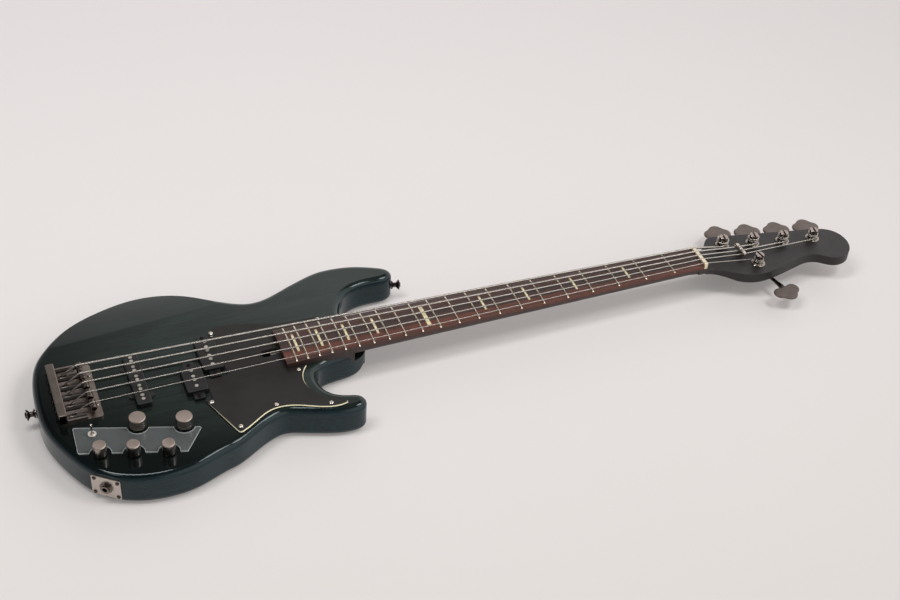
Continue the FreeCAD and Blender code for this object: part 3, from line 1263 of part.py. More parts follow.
def make_retainer():
    """Bar that holds three strings down on the headstock; gives back its two screws."""
    bar = box(RETAINER.x - 3, RETAINER.x + 3, RETAINER.y - RETAINER_LENGTH / 2, RETAINER.y + RETAINER_LENGTH / 2,
              RETAINER_UNDER, RETAINER_UNDER + RETAINER_BAR)
    bar = bar.makeFillet(1.2, [e for e in bar.Edges if e.BoundBox.ZMin > RETAINER_UNDER + RETAINER_BAR - 0.1])
    for x, y in RETAINER_SCREWS:
        bar = bar.fuse(rod(Vector(x, y, HEAD_FACE + SEAT), UP, 2.2, RETAINER_UNDER - HEAD_FACE))
    for x, y in RETAINER_SCREWS:
        bar = bar.cut(rod(Vector(x, y, HEAD_FACE - 1), UP, 1.25, 30))
    feature_of("string_retainer", [bar.removeSplitter()])
    top = RETAINER_UNDER + RETAINER_BAR
    pan = screw(2.3, 1.2, 1.2, top - HEAD_FACE + 9)
    return [placed(pan, Placement(Vector(x, y, top), Rotation())) for x, y in RETAINER_SCREWS]


make_body()
make_neck()
make_fingerboard()
make_nut()
make_strings()
make_bridge()
make_pickups()
make_pickguard()
make_controls()
make_jack(make_electronics())
make_back_hardware()
make_tuners()
doc.recompute()

failed = [o.Name for o in doc.Objects if "Invalid" in o.State or "Error" in o.State]
if failed:
    raise RuntimeError(f"objects that failed to build: {failed}")
for part in sub_parts:
    if part.Shape.isNull() or not part.Shape.isValid():
        raise RuntimeError(f"{part.Label} has no valid shape")
for part in sub_parts:
    part.Shape.exportStep(f"parts/{part.Label}.step")
print(f"{len(sub_parts)} sub-parts written")
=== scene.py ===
"""Looks of a five-string electric bass guitar lying on its back: finishes, fine pieces, studio and camera."""

import logging
import math
from collections.abc import Callable, Sequence
from dataclasses import dataclass
from enum import Enum
from functools import partial
from typing import Any

import bmesh
import bpy
import numpy as np
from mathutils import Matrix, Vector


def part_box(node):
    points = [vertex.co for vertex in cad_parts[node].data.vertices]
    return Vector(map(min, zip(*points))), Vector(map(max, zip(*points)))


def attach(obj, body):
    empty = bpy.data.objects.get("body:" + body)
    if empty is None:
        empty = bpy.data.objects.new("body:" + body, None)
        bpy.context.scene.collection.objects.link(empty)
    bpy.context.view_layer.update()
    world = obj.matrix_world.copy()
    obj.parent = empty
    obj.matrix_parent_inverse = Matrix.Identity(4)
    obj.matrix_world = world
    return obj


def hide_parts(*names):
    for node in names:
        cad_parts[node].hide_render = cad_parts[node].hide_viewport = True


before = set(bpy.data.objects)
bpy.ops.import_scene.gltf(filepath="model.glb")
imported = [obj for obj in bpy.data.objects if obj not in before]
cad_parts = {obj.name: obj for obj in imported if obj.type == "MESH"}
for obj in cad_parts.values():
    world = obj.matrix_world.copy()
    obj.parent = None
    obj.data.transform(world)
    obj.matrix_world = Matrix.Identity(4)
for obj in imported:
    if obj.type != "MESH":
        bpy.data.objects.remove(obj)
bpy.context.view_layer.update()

MM = 0.001
ROOT = "instrument"
UP = np.array([0.0, 0.0, 1.0])
NOISE_SPAN = {1: 0.3, 2: 0.7}  # inputs of a Map Range node that cover the usual values of a noise
WELD = 1e-7  # metres within which points are one
# Sizes that several parts share, in millimetres, strings counted from the lowest.
SCALE_LENGTH = 863.6
BOARD_RADIUS = 254.0
STRING_SPACING = 18.0
MIDDLE_STRING = 2
POSTS = ((922, 27.5), (968, 18.5), (1014, 10), (1061, 2.5), (952, -25))
HANDS = (1, 1, 1, 1, -1)  # 1 for posts on the bass side, -1 on the treble side
Node = bpy.types.Node
Adder = Callable[..., Node]
Spots = tuple[tuple[float, float], ...]
Point = tuple[float, float, float]
log = logging.getLogger("bass_guitar")


# shader helpers

def linear(hex_code: str) -> tuple[float, float, float, float]:
    """Turn an sRGB hex colour into linear RGBA.

    Args:
        hex_code: colour as "#rrggbb".

    Returns:
        Linear red, green, blue and an alpha of 1.
    """
    parts = np.array([int(hex_code[i:i + 2], 16) for i in (1, 3, 5)]) / 255.0
    values = np.where(parts <= 0.04045, parts / 12.92, ((parts + 0.055) / 1.055) ** 2.4)
    return (float(values[0]), float(values[1]), float(values[2]), 1.0)


def add_node(tree: bpy.types.NodeTree, kind: str, inputs: dict[Any, Any] | None = None,
             stops: Sequence[tuple[float, str]] = (), **settings: Any) -> Node:
    """Add a node, apply its settings, and set or link its inputs.

    Args:
        tree: node tree of a material or the world.
        kind: node type name without its prefix.
        inputs: socket name or index to a value, to a socket, or to a node whose first live output is linked.
        stops: colour ramp stops as (place, hex colour).
        settings: attributes of the node.

    Returns:
        The new node.
    """
    node = tree.nodes.new("ShaderNode" + kind)
    for name, value in settings.items():
        setattr(node, name, value)
    for key, value in (inputs or {}).items():
        if isinstance(value, Node):
            value = next(socket for socket in value.outputs if socket.enabled)
        if isinstance(value, bpy.types.NodeSocket):
            tree.links.new(value, node.inputs[key])
        else:
            node.inputs[key].default_value = value
    if stops:
        elements = node.color_ramp.elements
        while len(elements) < len(stops):
            elements.new(1.0)
        for element, (place, tone) in zip(elements, stops):
            element.position = place
            element.color = linear(tone)
    return node


class Axis(Enum):
    """Direction in which a grain or a brushing runs."""

    ALONG = (1.0, 0.0, 0.0)
    ACROSS = (0.0, 1.0, 0.0)
    LEVEL = (1.0, 1.0, 0.0)
    NONE = (0.0, 0.0, 0.0)


def streaks(add: Adder, width_mm: float, run: float = 1.0, axis: Axis = Axis.NONE, detail: float = 3.0,
            warp: float = 0.0) -> Node:
    """Noise in streaks of a real width on Object coordinates.

    Args:
        add: adds a node to the material.
        width_mm: width of one streak.
        run: how many times longer than wide a streak is.
        axis: direction of the streaks.
        detail: octaves of the noise.
        warp: distortion of the noise.

    Returns:
        The noise node.
    """
    per_metre = 1.0 / (width_mm * MM)
    scale = [per_metre / run if share else per_metre for share in axis.value]
    coords = add("TexCoord")
    mapping = add("Mapping", {"Vector": coords.outputs["Object"], "Scale": scale})
    return add("TexNoise", {"Vector": mapping, "Scale": 1.0, "Detail": detail, "Roughness": 0.55,
                            "Distortion": warp})


def flatness(add: Adder, low: float, high: float) -> Node:
    """How level the surface lies, from 0 on walls to 1 on flats.

    Args:
        add: adds a node to the material.
        low: upright share of the normal that still counts as a wall.
        high: upright share from which it counts as flat.

    Returns:
        A node that gives this share.
    """
    turn = add("NewGeometry")
    lean = add("SeparateXYZ", {0: turn.outputs["Normal"]})
    level = add("Math", {0: lean.outputs[2]}, operation="ABSOLUTE")
    return add("MapRange", {0: level, 1: low, 2: high})


# finishes

@dataclass(frozen=True)
class Finish:
    """A surface finish that becomes one procedural material."""

    name: str
    slot: str

    def sockets(self, add: Adder) -> dict[str, Any]:
        """Add the finish's nodes and give the shader's inputs."""
        raise NotImplementedError

    def material(self) -> bpy.types.Material:
        """Give the material of this finish, built on first use."""
        found = bpy.data.materials.get(self.name)
        if found:
            return found
        made = bpy.data.materials.new(self.name)
        made.use_nodes = True
        made.node_tree.nodes.clear()
        add = partial(add_node, made.node_tree)
        shader = add("BsdfPrincipled", self.sockets(add))
        add("OutputMaterial", {"Surface": shader})
        return made


@dataclass(frozen=True)
class PlatedMetal(Finish):
    """Plated or bare metal: fine brushing that varies the tone and the roughness a little.

    Walls may be smoother and deeper than the flats, as on turned knobs, and lathe rings run round them. On the bridge
    block the dark walls are painted shade, and on the toggle lever the pale flats are a painted highlight over walls
    of painted shade.
    """

    tone: str
    deep_tone: str
    roughness: float
    grain_mm: float = 0.6
    axis: Axis = Axis.NONE
    bump: float = 0.03
    wall_tone: str = ""
    wall_roughness: float = 0.1
    ring_mm: float = 0.0
    cloud_mm: float = 14.0

    def sockets(self, add: Adder) -> dict[str, Any]:
        """Streaked tone, roughness and bump of a plated metal."""
        fine = streaks(add, self.grain_mm, 12.0, self.axis)
        broad = streaks(add, self.cloud_mm, detail=2.0)
        tone = add("ValToRGB", {0: fine}, [(0.3, self.deep_tone), (0.7, self.tone)])
        rough = add("MapRange", {0: broad, **NOISE_SPAN, 3: self.roughness * 0.85, 4: self.roughness * 1.2})
        bump = add("Bump", {"Height": fine, "Strength": self.bump, "Distance": 0.0002})
        # On the block and the lever this wall tone stands in for painted shade.
        if self.wall_tone:
            flat = flatness(add, 0.3, 0.9)
            tone = add("Mix", {0: flat, 6: linear(self.wall_tone), 7: tone}, data_type="RGBA")
            rough = add("Mix", {0: flat, 2: self.wall_roughness, 3: rough})
        if self.ring_mm:
            rings = streaks(add, self.ring_mm, 1.0 / (self.ring_mm * MM), Axis.LEVEL, detail=1.0)
            bump = add("Bump", {"Height": rings, "Strength": 0.25, "Distance": 0.0001, "Normal": bump})
        return {"Base Color": tone, "Metallic": 1.0, "Roughness": rough, "Normal": bump}


@dataclass(frozen=True)
class MouldedPlastic(Finish):
    """Moulded plastic: fine mould texture and faint handling marks."""

    tone: str
    worn_tone: str
    roughness: float
    grain_mm: float = 0.5
    bump: float = 0.08
    coat: float = 0.0
    cloud_mm: float = 22.0

    def sockets(self, add: Adder) -> dict[str, Any]:
        """Speckled tone with a grained bump."""
        fine = streaks(add, self.grain_mm, detail=4.0)
        broad = streaks(add, self.cloud_mm)
        tone = add("ValToRGB", {0: broad}, [(0.35, self.tone), (0.75, self.worn_tone)])
        rough = add("MapRange", {0: broad, **NOISE_SPAN, 3: self.roughness * 0.9, 4: self.roughness * 1.15})
        bump = add("Bump", {"Height": fine, "Strength": self.bump, "Distance": 0.0003})
        return {"Base Color": tone, "Coat Weight": self.coat, "Coat Roughness": 0.08,
                "Roughness": rough, "Normal": bump}


@dataclass(frozen=True)
class BodyLacquer(Finish):
    """Translucent teal stain over straight-grained wood under polished lacquer, black towards the rim partly as the
    finish's burst and partly as painted shade, with painted sheen and shade on the walls.
    """

    tone: str = "#131917"
    light_tone: str = "#27312d"
    rim_burst_shade_tone: str = "#0a0f0e"
    wall_shade_tone: str = "#0a171b"
    wall_sheen_tone: str = "#10282f"
    sheen_tone: str = "#dce9ec"
    centre: tuple[float, float] = (0.23, 0.03)
    reach: tuple[float, float] = (0.31, 0.21)
    grain_mm: float = 3.2
    pore_mm: float = 0.9
    figure_mm: float = 45.0
    wave_mm: float = 9.0

    def sockets(self, add: Adder) -> dict[str, Any]:
        """Long grain under the lacquer, darker near the rim as burst and painted shade, and painted sheen and shade
        where the surface turns over the edge.
        """
        grain = streaks(add, self.grain_mm, 36.0, Axis.ALONG, detail=5.0, warp=0.4)
        pores = streaks(add, self.pore_mm, 26.0, Axis.ALONG, detail=2.0)
        figure = streaks(add, self.figure_mm, 4.0, Axis.ALONG, warp=1.5)
        both = add("Mix", {0: 0.35, 2: grain, 3: pores})
        shade = add("Mix", {0: 0.45, 2: both, 3: figure})
        top = add("ValToRGB", {0: shade}, [(0.34, self.tone), (0.66, self.light_tone)])
        # Spherical burst about an off-centre middle: black towards the rim, partly the finish's burst and partly
        # painted shade.
        coords = add("TexCoord")
        inverse = (1.0 / self.reach[0], 1.0 / self.reach[1], 0.0)
        shift = (-self.centre[0] / self.reach[0], -self.centre[1] / self.reach[1], 0.0)
        ring = add("Mapping", {"Vector": coords.outputs["Object"], "Location": shift, "Scale": inverse})
        burst = add("TexGradient", {"Vector": ring}, gradient_type="SPHERICAL")
        inside = add("MapRange", {0: burst.outputs["Fac"], 1: 0.02, 2: 0.5})
        face = add("Mix", {0: inside, 6: linear(self.rim_burst_shade_tone), 7: top}, data_type="RGBA")
        # Walls and roundovers: painted teal sheen streaked with painted shade, in place of the top's colour.
        side = add("ValToRGB", {0: grain}, [(0.35, self.wall_shade_tone), (0.65, self.wall_sheen_tone)])
        colour = add("Mix", {0: flatness(add, 0.35, 0.98), 6: side, 7: face}, data_type="RGBA")
        wave = streaks(add, self.wave_mm, detail=1.0)
        bump = add("Bump", {"Height": wave, "Strength": 0.012, "Distance": 0.0004})
        return {"Base Color": colour, "Roughness": 0.09, "IOR": 1.43, "Specular Tint": linear(self.sheen_tone),
                "Coat Weight": 0.06, "Coat Roughness": 0.03, "Coat IOR": 1.5, "Normal": bump, "Coat Normal": bump}


@dataclass(frozen=True)
class NeckStain(Finish):
    """Satin stained maple on the neck's back, flat black paint on the headstock."""

    tone: str = "#231b1a"
    light_tone: str = "#3a2b28"
    paint: str = "#131110"
    paint_worn: str = "#1c1918"
    paint_start: float = 0.8685
    grain_mm: float = 2.4
    mottle_mm: float = 16.0

    def sockets(self, add: Adder) -> dict[str, Any]:
        """Grained stain up to the nut and painted wood beyond it."""
        grain = streaks(add, self.grain_mm, 30.0, Axis.ALONG, detail=4.0, warp=0.5)
        mottle = streaks(add, self.mottle_mm, detail=4.0)
        wood = add("ValToRGB", {0: grain}, [(0.3, self.tone), (0.7, self.light_tone)])
        paint = add("ValToRGB", {0: mottle}, [(0.35, self.paint), (0.7, self.paint_worn)])
        coords = add("TexCoord")
        place = add("SeparateXYZ", {0: coords.outputs["Object"]})
        beyond = add("MapRange", {0: place.outputs[0], 1: self.paint_start, 2: self.paint_start + 0.004})
        colour = add("Mix", {0: beyond, 6: wood, 7: paint}, data_type="RGBA")
        bump = add("Bump", {"Height": grain, "Strength": 0.05, "Distance": 0.0002})
        rough = add("MapRange", {0: mottle, **NOISE_SPAN, 3: 0.42, 4: 0.55})
        return {"Base Color": colour, "Normal": bump, "Roughness": rough}


@dataclass(frozen=True)
class Rosewood(Finish):
    """Oiled rosewood: sawn colour bands across the board, dark and reddish streaks along it, open pores."""

    dark: str = "#2f201e"
    middle: str = "#4a2a22"
    light: str = "#6f3f2f"
    pit_tone: str = "#1f1412"
    bass_band: str = "#4f3029"
    middle_band: str = "#312828"
    red_band: str = "#6f3a28"
    edge_band: str = "#3a221c"
    half_width: float = 0.035
    band_mm: float = 9.0
    grain_mm: float = 1.2
    pore_mm: float = 0.55

    def sockets(self, add: Adder) -> dict[str, Any]:
        """Colour bands across the board, broken by broad and fine streaks and pores along it."""
        coords = add("TexCoord")
        place = add("SeparateXYZ", {0: coords.outputs["Object"]})
        across = add("MapRange", {0: place.outputs[1], 1: -self.half_width, 2: self.half_width})
        sawn = add("ValToRGB", {0: across},
                   [(0.06, self.edge_band), (0.14, self.red_band), (0.28, self.red_band),
                    (0.36, self.middle_band), (0.58, self.middle_band), (0.68, self.bass_band)])
        bands = streaks(add, self.band_mm, 34.0, Axis.ALONG, detail=4.0, warp=0.6)
        fine = streaks(add, self.grain_mm, 30.0, Axis.ALONG)
        pores = streaks(add, self.pore_mm, 14.0, Axis.ALONG, detail=1.0)
        both = add("Mix", {0: 0.35, 2: bands, 3: fine})
        colour = add("ValToRGB", {0: both}, [(0.36, self.dark), (0.5, self.middle), (0.66, self.light)])
        wood = add("Mix", {0: 0.55, 6: colour, 7: sawn}, data_type="RGBA")
        pits = add("MapRange", {0: pores, 1: 0.32, 2: 0.45})
        tone = add("Mix", {0: pits, 6: linear(self.pit_tone), 7: wood}, data_type="RGBA")
        bump = add("Bump", {"Height": pits, "Strength": 0.25, "Distance": 0.0002})
        rough = add("MapRange", {0: fine, **NOISE_SPAN, 3: 0.4, 4: 0.55})
        return {"Base Color": tone, "Roughness": rough, "Normal": bump}


@dataclass(frozen=True)
class WallLined(Finish):
    """Sheet plastic whose cut walls show another colour than its face."""

    face: str
    face_worn: str
    wall: str
    roughness: float
    alpha: float = 1.0
    wall_alpha: float = 1.0
    ior: float = 1.5
    specular: float = 0.5
    grain_mm: float = 0.6
    cloud_mm: float = 30.0

    def sockets(self, add: Adder) -> dict[str, Any]:
        """Face colour where the surface lies flat, wall colour where it stands."""
        flat = flatness(add, 0.6, 0.95)
        fine = streaks(add, self.grain_mm)
        broad = streaks(add, self.cloud_mm)
        face = add("ValToRGB", {0: broad}, [(0.35, self.face), (0.7, self.face_worn)])
        colour = add("Mix", {0: flat, 6: linear(self.wall), 7: face}, data_type="RGBA")
        bump = add("Bump", {"Height": fine, "Strength": 0.03, "Distance": 0.0002})
        rough = add("MapRange", {0: broad, **NOISE_SPAN, 3: self.roughness * 0.9, 4: self.roughness * 1.15})
        inputs = {"Base Color": colour, "IOR": self.ior, "Normal": bump, "Specular IOR Level": self.specular,
                  "Roughness": rough}
        if self.alpha < 1.0:
            inputs["Alpha"] = add("MapRange", {0: flat, 3: self.wall_alpha, 4: self.alpha})
        return inputs


@dataclass(frozen=True)
class Pearl(Finish):
    """Cast cream plastic with a soft pearly cloud."""

    tone: str = "#dccf9f"
    light_tone: str = "#efe6bd"
    cloud_mm: float = 4.0

    def sockets(self, add: Adder) -> dict[str, Any]:
        """Cloudy cream tone under a polished face."""
        cloud = streaks(add, self.cloud_mm, detail=4.0, warp=1.2)
        tone = add("ValToRGB", {0: cloud}, [(0.35, self.tone), (0.65, self.light_tone)])
        rough = add("MapRange", {0: cloud, **NOISE_SPAN, 3: 0.25, 4: 0.4})
        return {"Base Color": tone, "Roughness": rough, "Coat Weight": 0.4, "Coat Roughness": 0.1}


@dataclass(frozen=True)
class WoundSteel(Finish):
    """Round-wound string: nickel-plated wrap wire, drawn coarser than the real 0.4 mm so that it shows."""

    tone: str = "#bab5ae"
    deep_tone: str = "#7f7972"
    pitch_mm: float = 1.1

    def sockets(self, add: Adder) -> dict[str, Any]:
        """Rings along the string from its length attribute, as bump and as painted shade in the grooves between
        turns.
        """
        along = add("Attribute", attribute_name="along_mm")
        turn = add("Math", {0: along.outputs["Fac"], 1: 2 * math.pi / self.pitch_mm}, operation="MULTIPLY")
        ring = add("Math", {0: turn}, operation="SINE")
        wrap = add("MapRange", {0: ring, 1: -1.0, 2: 1.0})
        # The deep tone in the grooves between turns is painted shade.
        tone = add("ValToRGB", {0: wrap}, [(0.0, self.deep_tone), (0.6, self.tone)])
        bump = add("Bump", {"Height": wrap, "Strength": 0.3, "Distance": 0.0002})
        return {"Base Color": tone, "Metallic": 1.0, "Roughness": 0.26, "Normal": bump}


@dataclass(frozen=True)
class Paper(Finish):
    """Seamless studio paper, pale and even: painted a shade lighter far off, and glowing a little as painted light
    that softens the shadows.
    """

    near_tone: str = "#e0dbd8"
    far_tone: str = "#faf6f6"
    glow: float = 0.2
    cloud_mm: float = 300.0

    def sockets(self, add: Adder) -> dict[str, Any]:
        """Tone that pales with the distance, and the same tone as the paper's own glow: both painted light."""
        cloud = streaks(add, self.cloud_mm, detail=2.0)
        coords = add("TexCoord")
        place = add("SeparateXYZ", {0: coords.outputs["Object"]})
        depth = add("MapRange", {0: place.outputs[1], 1: -0.6, 2: 1.8})
        sweep = add("Mix", {0: 0.06, 2: depth, 3: cloud})
        tone = add("ValToRGB", {0: sweep}, [(0.0, self.near_tone), (1.0, self.far_tone)])
        dim = add("Mix", {0: self.glow, 6: tone, 7: linear("#000000")}, data_type="RGBA")
        return {"Base Color": dim, "Roughness": 0.9, "Emission Color": tone, "Emission Strength": self.glow * 0.9}


# Wood: deep teal gloss on the body, dull black on the headstock, warm open grain on the board.
LACQUER = BodyLacquer("teal_stain_polished_lacquer", "body_lacquer")
NECK = NeckStain("stained_maple_satin", "neck_wood")
ROSEWOOD = Rosewood("oiled_rosewood", "fingerboard_wood")
# Studio floor: pale and even, so that the dark body stands out.
PAPER = Paper("seamless_paper", "")
# Inlay, nut, frets and strings: cream and grey glints on the dark board.
PEARL = Pearl("cast_pearl_plastic", "inlay")
BONE = MouldedPlastic("sanded_bone", "nut_bone", "#ddceb0", "#ebdfc6", 0.45, 0.8, 0.05)
FRET_WIRE = PlatedMetal("polished_nickel_silver", "fret_wire", "#e2d9c6", "#bdb4a2", 0.25, 0.5, Axis.ACROSS)
STRING = WoundSteel("round_wound_nickel_steel", "string_steel")
# Plastics: black and nearly matt, with one thin cream line round the guard.
GUARD = WallLined("guard_sheet_black", "guard_black", "#161513", "#1e1d1b", "#100f0e", 0.42, specular=0.34)
GUARD_CORE = WallLined("guard_sheet_black_core", "guard_cream", "#1f1e1c", "#2a2927", "#121110", 0.5)
GUARD_BEVEL = MouldedPlastic("guard_sheet_cream_bevel", "guard_cream", "#e9e2bd", "#f3eccb", 0.5, 0.5, 0.02)
PICKUP = MouldedPlastic("moulded_black_abs", "pickup_black", "#100f0f", "#191817", 0.4, 0.7, 0.12)
POLE = PlatedMetal("turned_pole_steel", "pole_steel", "#efe9df", "#cfc7bb", 0.3, 0.4)
# Black nickel: a warm grey mirror, duller where it is milled, pressed or turned, near black in the threads; the
# darker saddles, the block's dark walls and the near black intonation screws carry painted shade.
BLACK_NICKEL = PlatedMetal("black_nickel_satin", "black_nickel", "#a89c95", "#8b807a", 0.33, 0.5, Axis.ACROSS)
BLACK_NICKEL_BRIGHT = PlatedMetal("black_nickel_polished", "black_nickel", "#a0958e", "#8b817b", 0.12, 0.5,
                                  Axis.NONE, 0.01)
KNOB = PlatedMetal("black_nickel_turned", "black_nickel", "#c0b1a7", "#ab9d94", 0.36, 0.5, Axis.NONE, 0.02,
                   "#a0958e", 0.2, 0.35)
# The block's walls are drawn far darker than its top as painted shade.
BLOCK = PlatedMetal("black_nickel_milled_shaded_walls", "black_nickel", "#897e77", "#736a64", 0.34, 0.5, Axis.ACROSS, 0.03,
                    "#4e4844", 0.12)
# The saddles' darker copy of black nickel is painted shade.
SADDLE = PlatedMetal("shaded_black_nickel_barrel", "black_nickel", "#756b65", "#5d5550", 0.1)
# Near black: painted shade on the intonation screws between the saddles, and the pickup screws' own dark colour.
SHADED = PlatedMetal("dark_and_shaded_thread", "black_nickel", "#2b2725", "#1d1a19", 0.4)
# Near black flat pads: painted shade for the key-hole openings and the gaps between the string channels.
CHANNEL_SHADE = MouldedPlastic("painted_channel_shade", "black_nickel", "#0b0b0b", "#121211", 0.5, 0.6, 0.05)
STEM = PlatedMetal("black_nickel_shaft", "black_nickel", "#5d5551", "#463f3c", 0.14)
RETAINER = PlatedMetal("black_nickel_drawn", "black_nickel", "#c9beb5", "#b0a59d", 0.2)
KEY_METAL = PlatedMetal("black_nickel_pressed", "black_nickel", "#766b66", "#685f5a", 0.42, 0.5, Axis.ACROSS)
# Nickel: pale and warm, satin on plates and polished on nuts and screws.
NICKEL = PlatedMetal("satin_nickel_plate", "satin_nickel", "#cfc6bd", "#b4aaa1", 0.32, 0.5, Axis.ALONG)
NICKEL_BRIGHT = PlatedMetal("bright_nickel_plate", "satin_nickel", "#e6dfd7", "#cfc7be", 0.14)
NUT_NICKEL = PlatedMetal("satin_nickel_nut", "satin_nickel", "#f6f1ea", "#e6dfd6", 0.45, 0.5, Axis.NONE, 0.01,
                         "#d5cdc4", 0.3)
# The lever's pale flats are a painted highlight and its near black walls painted shade.
LEVER = PlatedMetal("nickel_lever_painted_light", "satin_nickel", "#f2ece4", "#ddd5cc", 0.25, 0.5, Axis.NONE, 0.01,
                    "#6f6761", 0.12)
# Darker polished nickel: painted shade on the jack's nut and socket.
NICKEL_DEEP = PlatedMetal("shaded_nickel_polished", "satin_nickel", "#8f867f", "#6d655f", 0.16)
# Clear sheet: a grey veil over the lacquer with pale walls, and a pale bead along its top edge as a painted
# highlight.
ACRYLIC = WallLined("clear_acrylic_sheet", "clear_acrylic", "#878c8c", "#929797", "#b9bfbf", 0.12, 0.34, 0.8, 1.49)
ACRYLIC_EDGE = MouldedPlastic("acrylic_edge_painted_highlight", "clear_acrylic", "#aeb5b5", "#c8cfcf", 0.3, 0.5, 0.01)
# Hidden parts and the back: plain moulded black, copper wire, green board, oiled steel.
COVER = MouldedPlastic("cavity_cover_black_abs", "cover_black", "#1b1a19", "#262523", 0.5, 0.9, 0.15)
COPPER = PlatedMetal("coil_wire_copper", "coil_copper", "#b4673f", "#8a4a2a", 0.35, 0.3, Axis.ACROSS)
BOARD = MouldedPlastic("solder_mask_green", "board_green", "#14432a", "#1c5536", 0.35, 1.2, 0.05, 0.4)
CELL = MouldedPlastic("battery_sleeve_black", "battery_case", "#1a1a1a", "#2a2927", 0.35, 1.5, 0.03, 0.3)
ROD = PlatedMetal("oiled_rod_steel", "rod_steel", "#77726d", "#55504c", 0.4, 0.8, Axis.ALONG)


# surface helpers

@dataclass
class Surface:
    """Points, quads and an optional length attribute of a shape under construction."""

    points: np.ndarray
    quads: np.ndarray
    along: np.ndarray | None = None

    def moved(self, origin: np.ndarray, x: np.ndarray, y: np.ndarray, z: np.ndarray) -> "Surface":
        """Give a copy set on an origin with its own axes turned to x, y and z."""
        return Surface(self.points @ np.stack([x, y, z]) + origin, self.quads, self.along)

    def at(self, *place: float) -> "Surface":
        """Give a copy shifted to a place."""
        return Surface(self.points + np.array(place), self.quads, self.along)

    def lying(self) -> "Surface":
        """Give a copy turned about X so that its axis runs along Y."""
        return self.moved(np.zeros(3), np.array([1.0, 0, 0]), np.array([0, 0, -1.0]), np.array([0, 1.0, 0]))


def grid(points: np.ndarray, close_rows: bool = False, close_cols: bool = False,
         along: np.ndarray | None = None) -> Surface:
    """Quads over a grid of points.

    Args:
        points: array (rows, cols, 3) in millimetres.
        close_rows: join the last row to the first.
        close_cols: join the last column to the first.
        along: value per row, kept per point.

    Returns:
        The surface with its points flattened row by row.
    """
    rows, cols = points.shape[:2]
    i = np.arange(rows if close_rows else rows - 1)[:, None]
    j = np.arange(cols if close_cols else cols - 1)[None, :]
    below, right = (i + 1) % rows, (j + 1) % cols
    quads = np.stack([i * cols + j, i * cols + right, below * cols + right, below * cols + j], -1).reshape(-1, 4)
    spread = None if along is None else np.repeat(along, cols)
    return Surface(points.reshape(-1, 3), quads, spread)


def turned(profile: np.ndarray, segments: int = 64) -> Surface:
    """Revolve (radius, height) points about Z: x = r cos a, y = r sin a, z = h.

    Args:
        profile: array (n, 2) in millimetres, from the first end to the last.
        segments: steps round the axis.

    Returns:
        The turned surface.
    """
    profile = np.asarray(profile, float)
    angle = np.linspace(0, 2 * np.pi, segments, endpoint=False)
    radius, height = profile[:, :1], profile[:, 1:]
    points = np.stack([radius * np.cos(angle), radius * np.sin(angle), height + 0 * angle], -1)
    return grid(points, close_cols=True)


def swept(path: np.ndarray, radius: float, sides: int = 12) -> Surface:
    """Carry a circle along a path: point = path + r (cos a side + sin a rise), with level side vectors.

    Args:
        path: array (n, 3) in millimetres.
        radius: radius of the tube.
        sides: points round the tube.

    Returns:
        The tube with pole points closing both ends and its length as attribute.
    """
    way = np.gradient(path, axis=0)
    way /= np.linalg.norm(way, axis=1, keepdims=True)
    heading = way * [1, 1, 0]
    level = np.linalg.norm(heading, axis=1, keepdims=True)
    heading = np.where(level > 0.02, heading / np.maximum(level, 1e-9), [1.0, 0.0, 0.0])
    side = np.cross(UP, heading)
    rise = np.cross(way, side)
    angle = np.linspace(0, 2 * np.pi, sides, endpoint=False)[None, :, None]
    rings = path[:, None] + radius * (np.cos(angle) * side[:, None] + np.sin(angle) * rise[:, None])
    ends = [np.repeat(path[i][None, None], sides, 1) for i in (0, -1)]
    rings = np.concatenate([ends[0], rings, ends[1]])
    length = np.concatenate([[0], np.cumsum(np.linalg.norm(np.diff(path, axis=0), axis=1))])
    return grid(rings, close_cols=True, along=np.concatenate([length[:1], length, length[-1:]]))


def eased(spots: np.ndarray, reaches: list[float], steps: int) -> np.ndarray:
    """Polyline whose inner corners are rounded by parabolas.

    Args:
        spots: corner points (n, dimensions) in millimetres.
        reaches: how far the rounding of each inner corner reaches along both legs.
        steps: points on each rounding.

    Returns:
        The first point, the points of the roundings and the last point.
    """
    t = np.linspace(0, 1, steps)[:, None]
    out = [spots[:1]]
    for before, here, after, reach in zip(spots, spots[1:], spots[2:], reaches):
        first, last = (here + (leg - here) / np.linalg.norm(leg - here) * reach for leg in (before, after))
        out.append((1 - t) ** 2 * first + 2 * t * (1 - t) * here + t ** 2 * last)
    return np.concatenate(out + [spots[-1:]])


def rounded_profile(corners: list[Point]) -> np.ndarray:
    """Profile points through (radius, height, reach of the rounding) corners in millimetres."""
    return eased(np.array([c[:2] for c in corners], float), [c[2] for c in corners[1:-1]], 5)


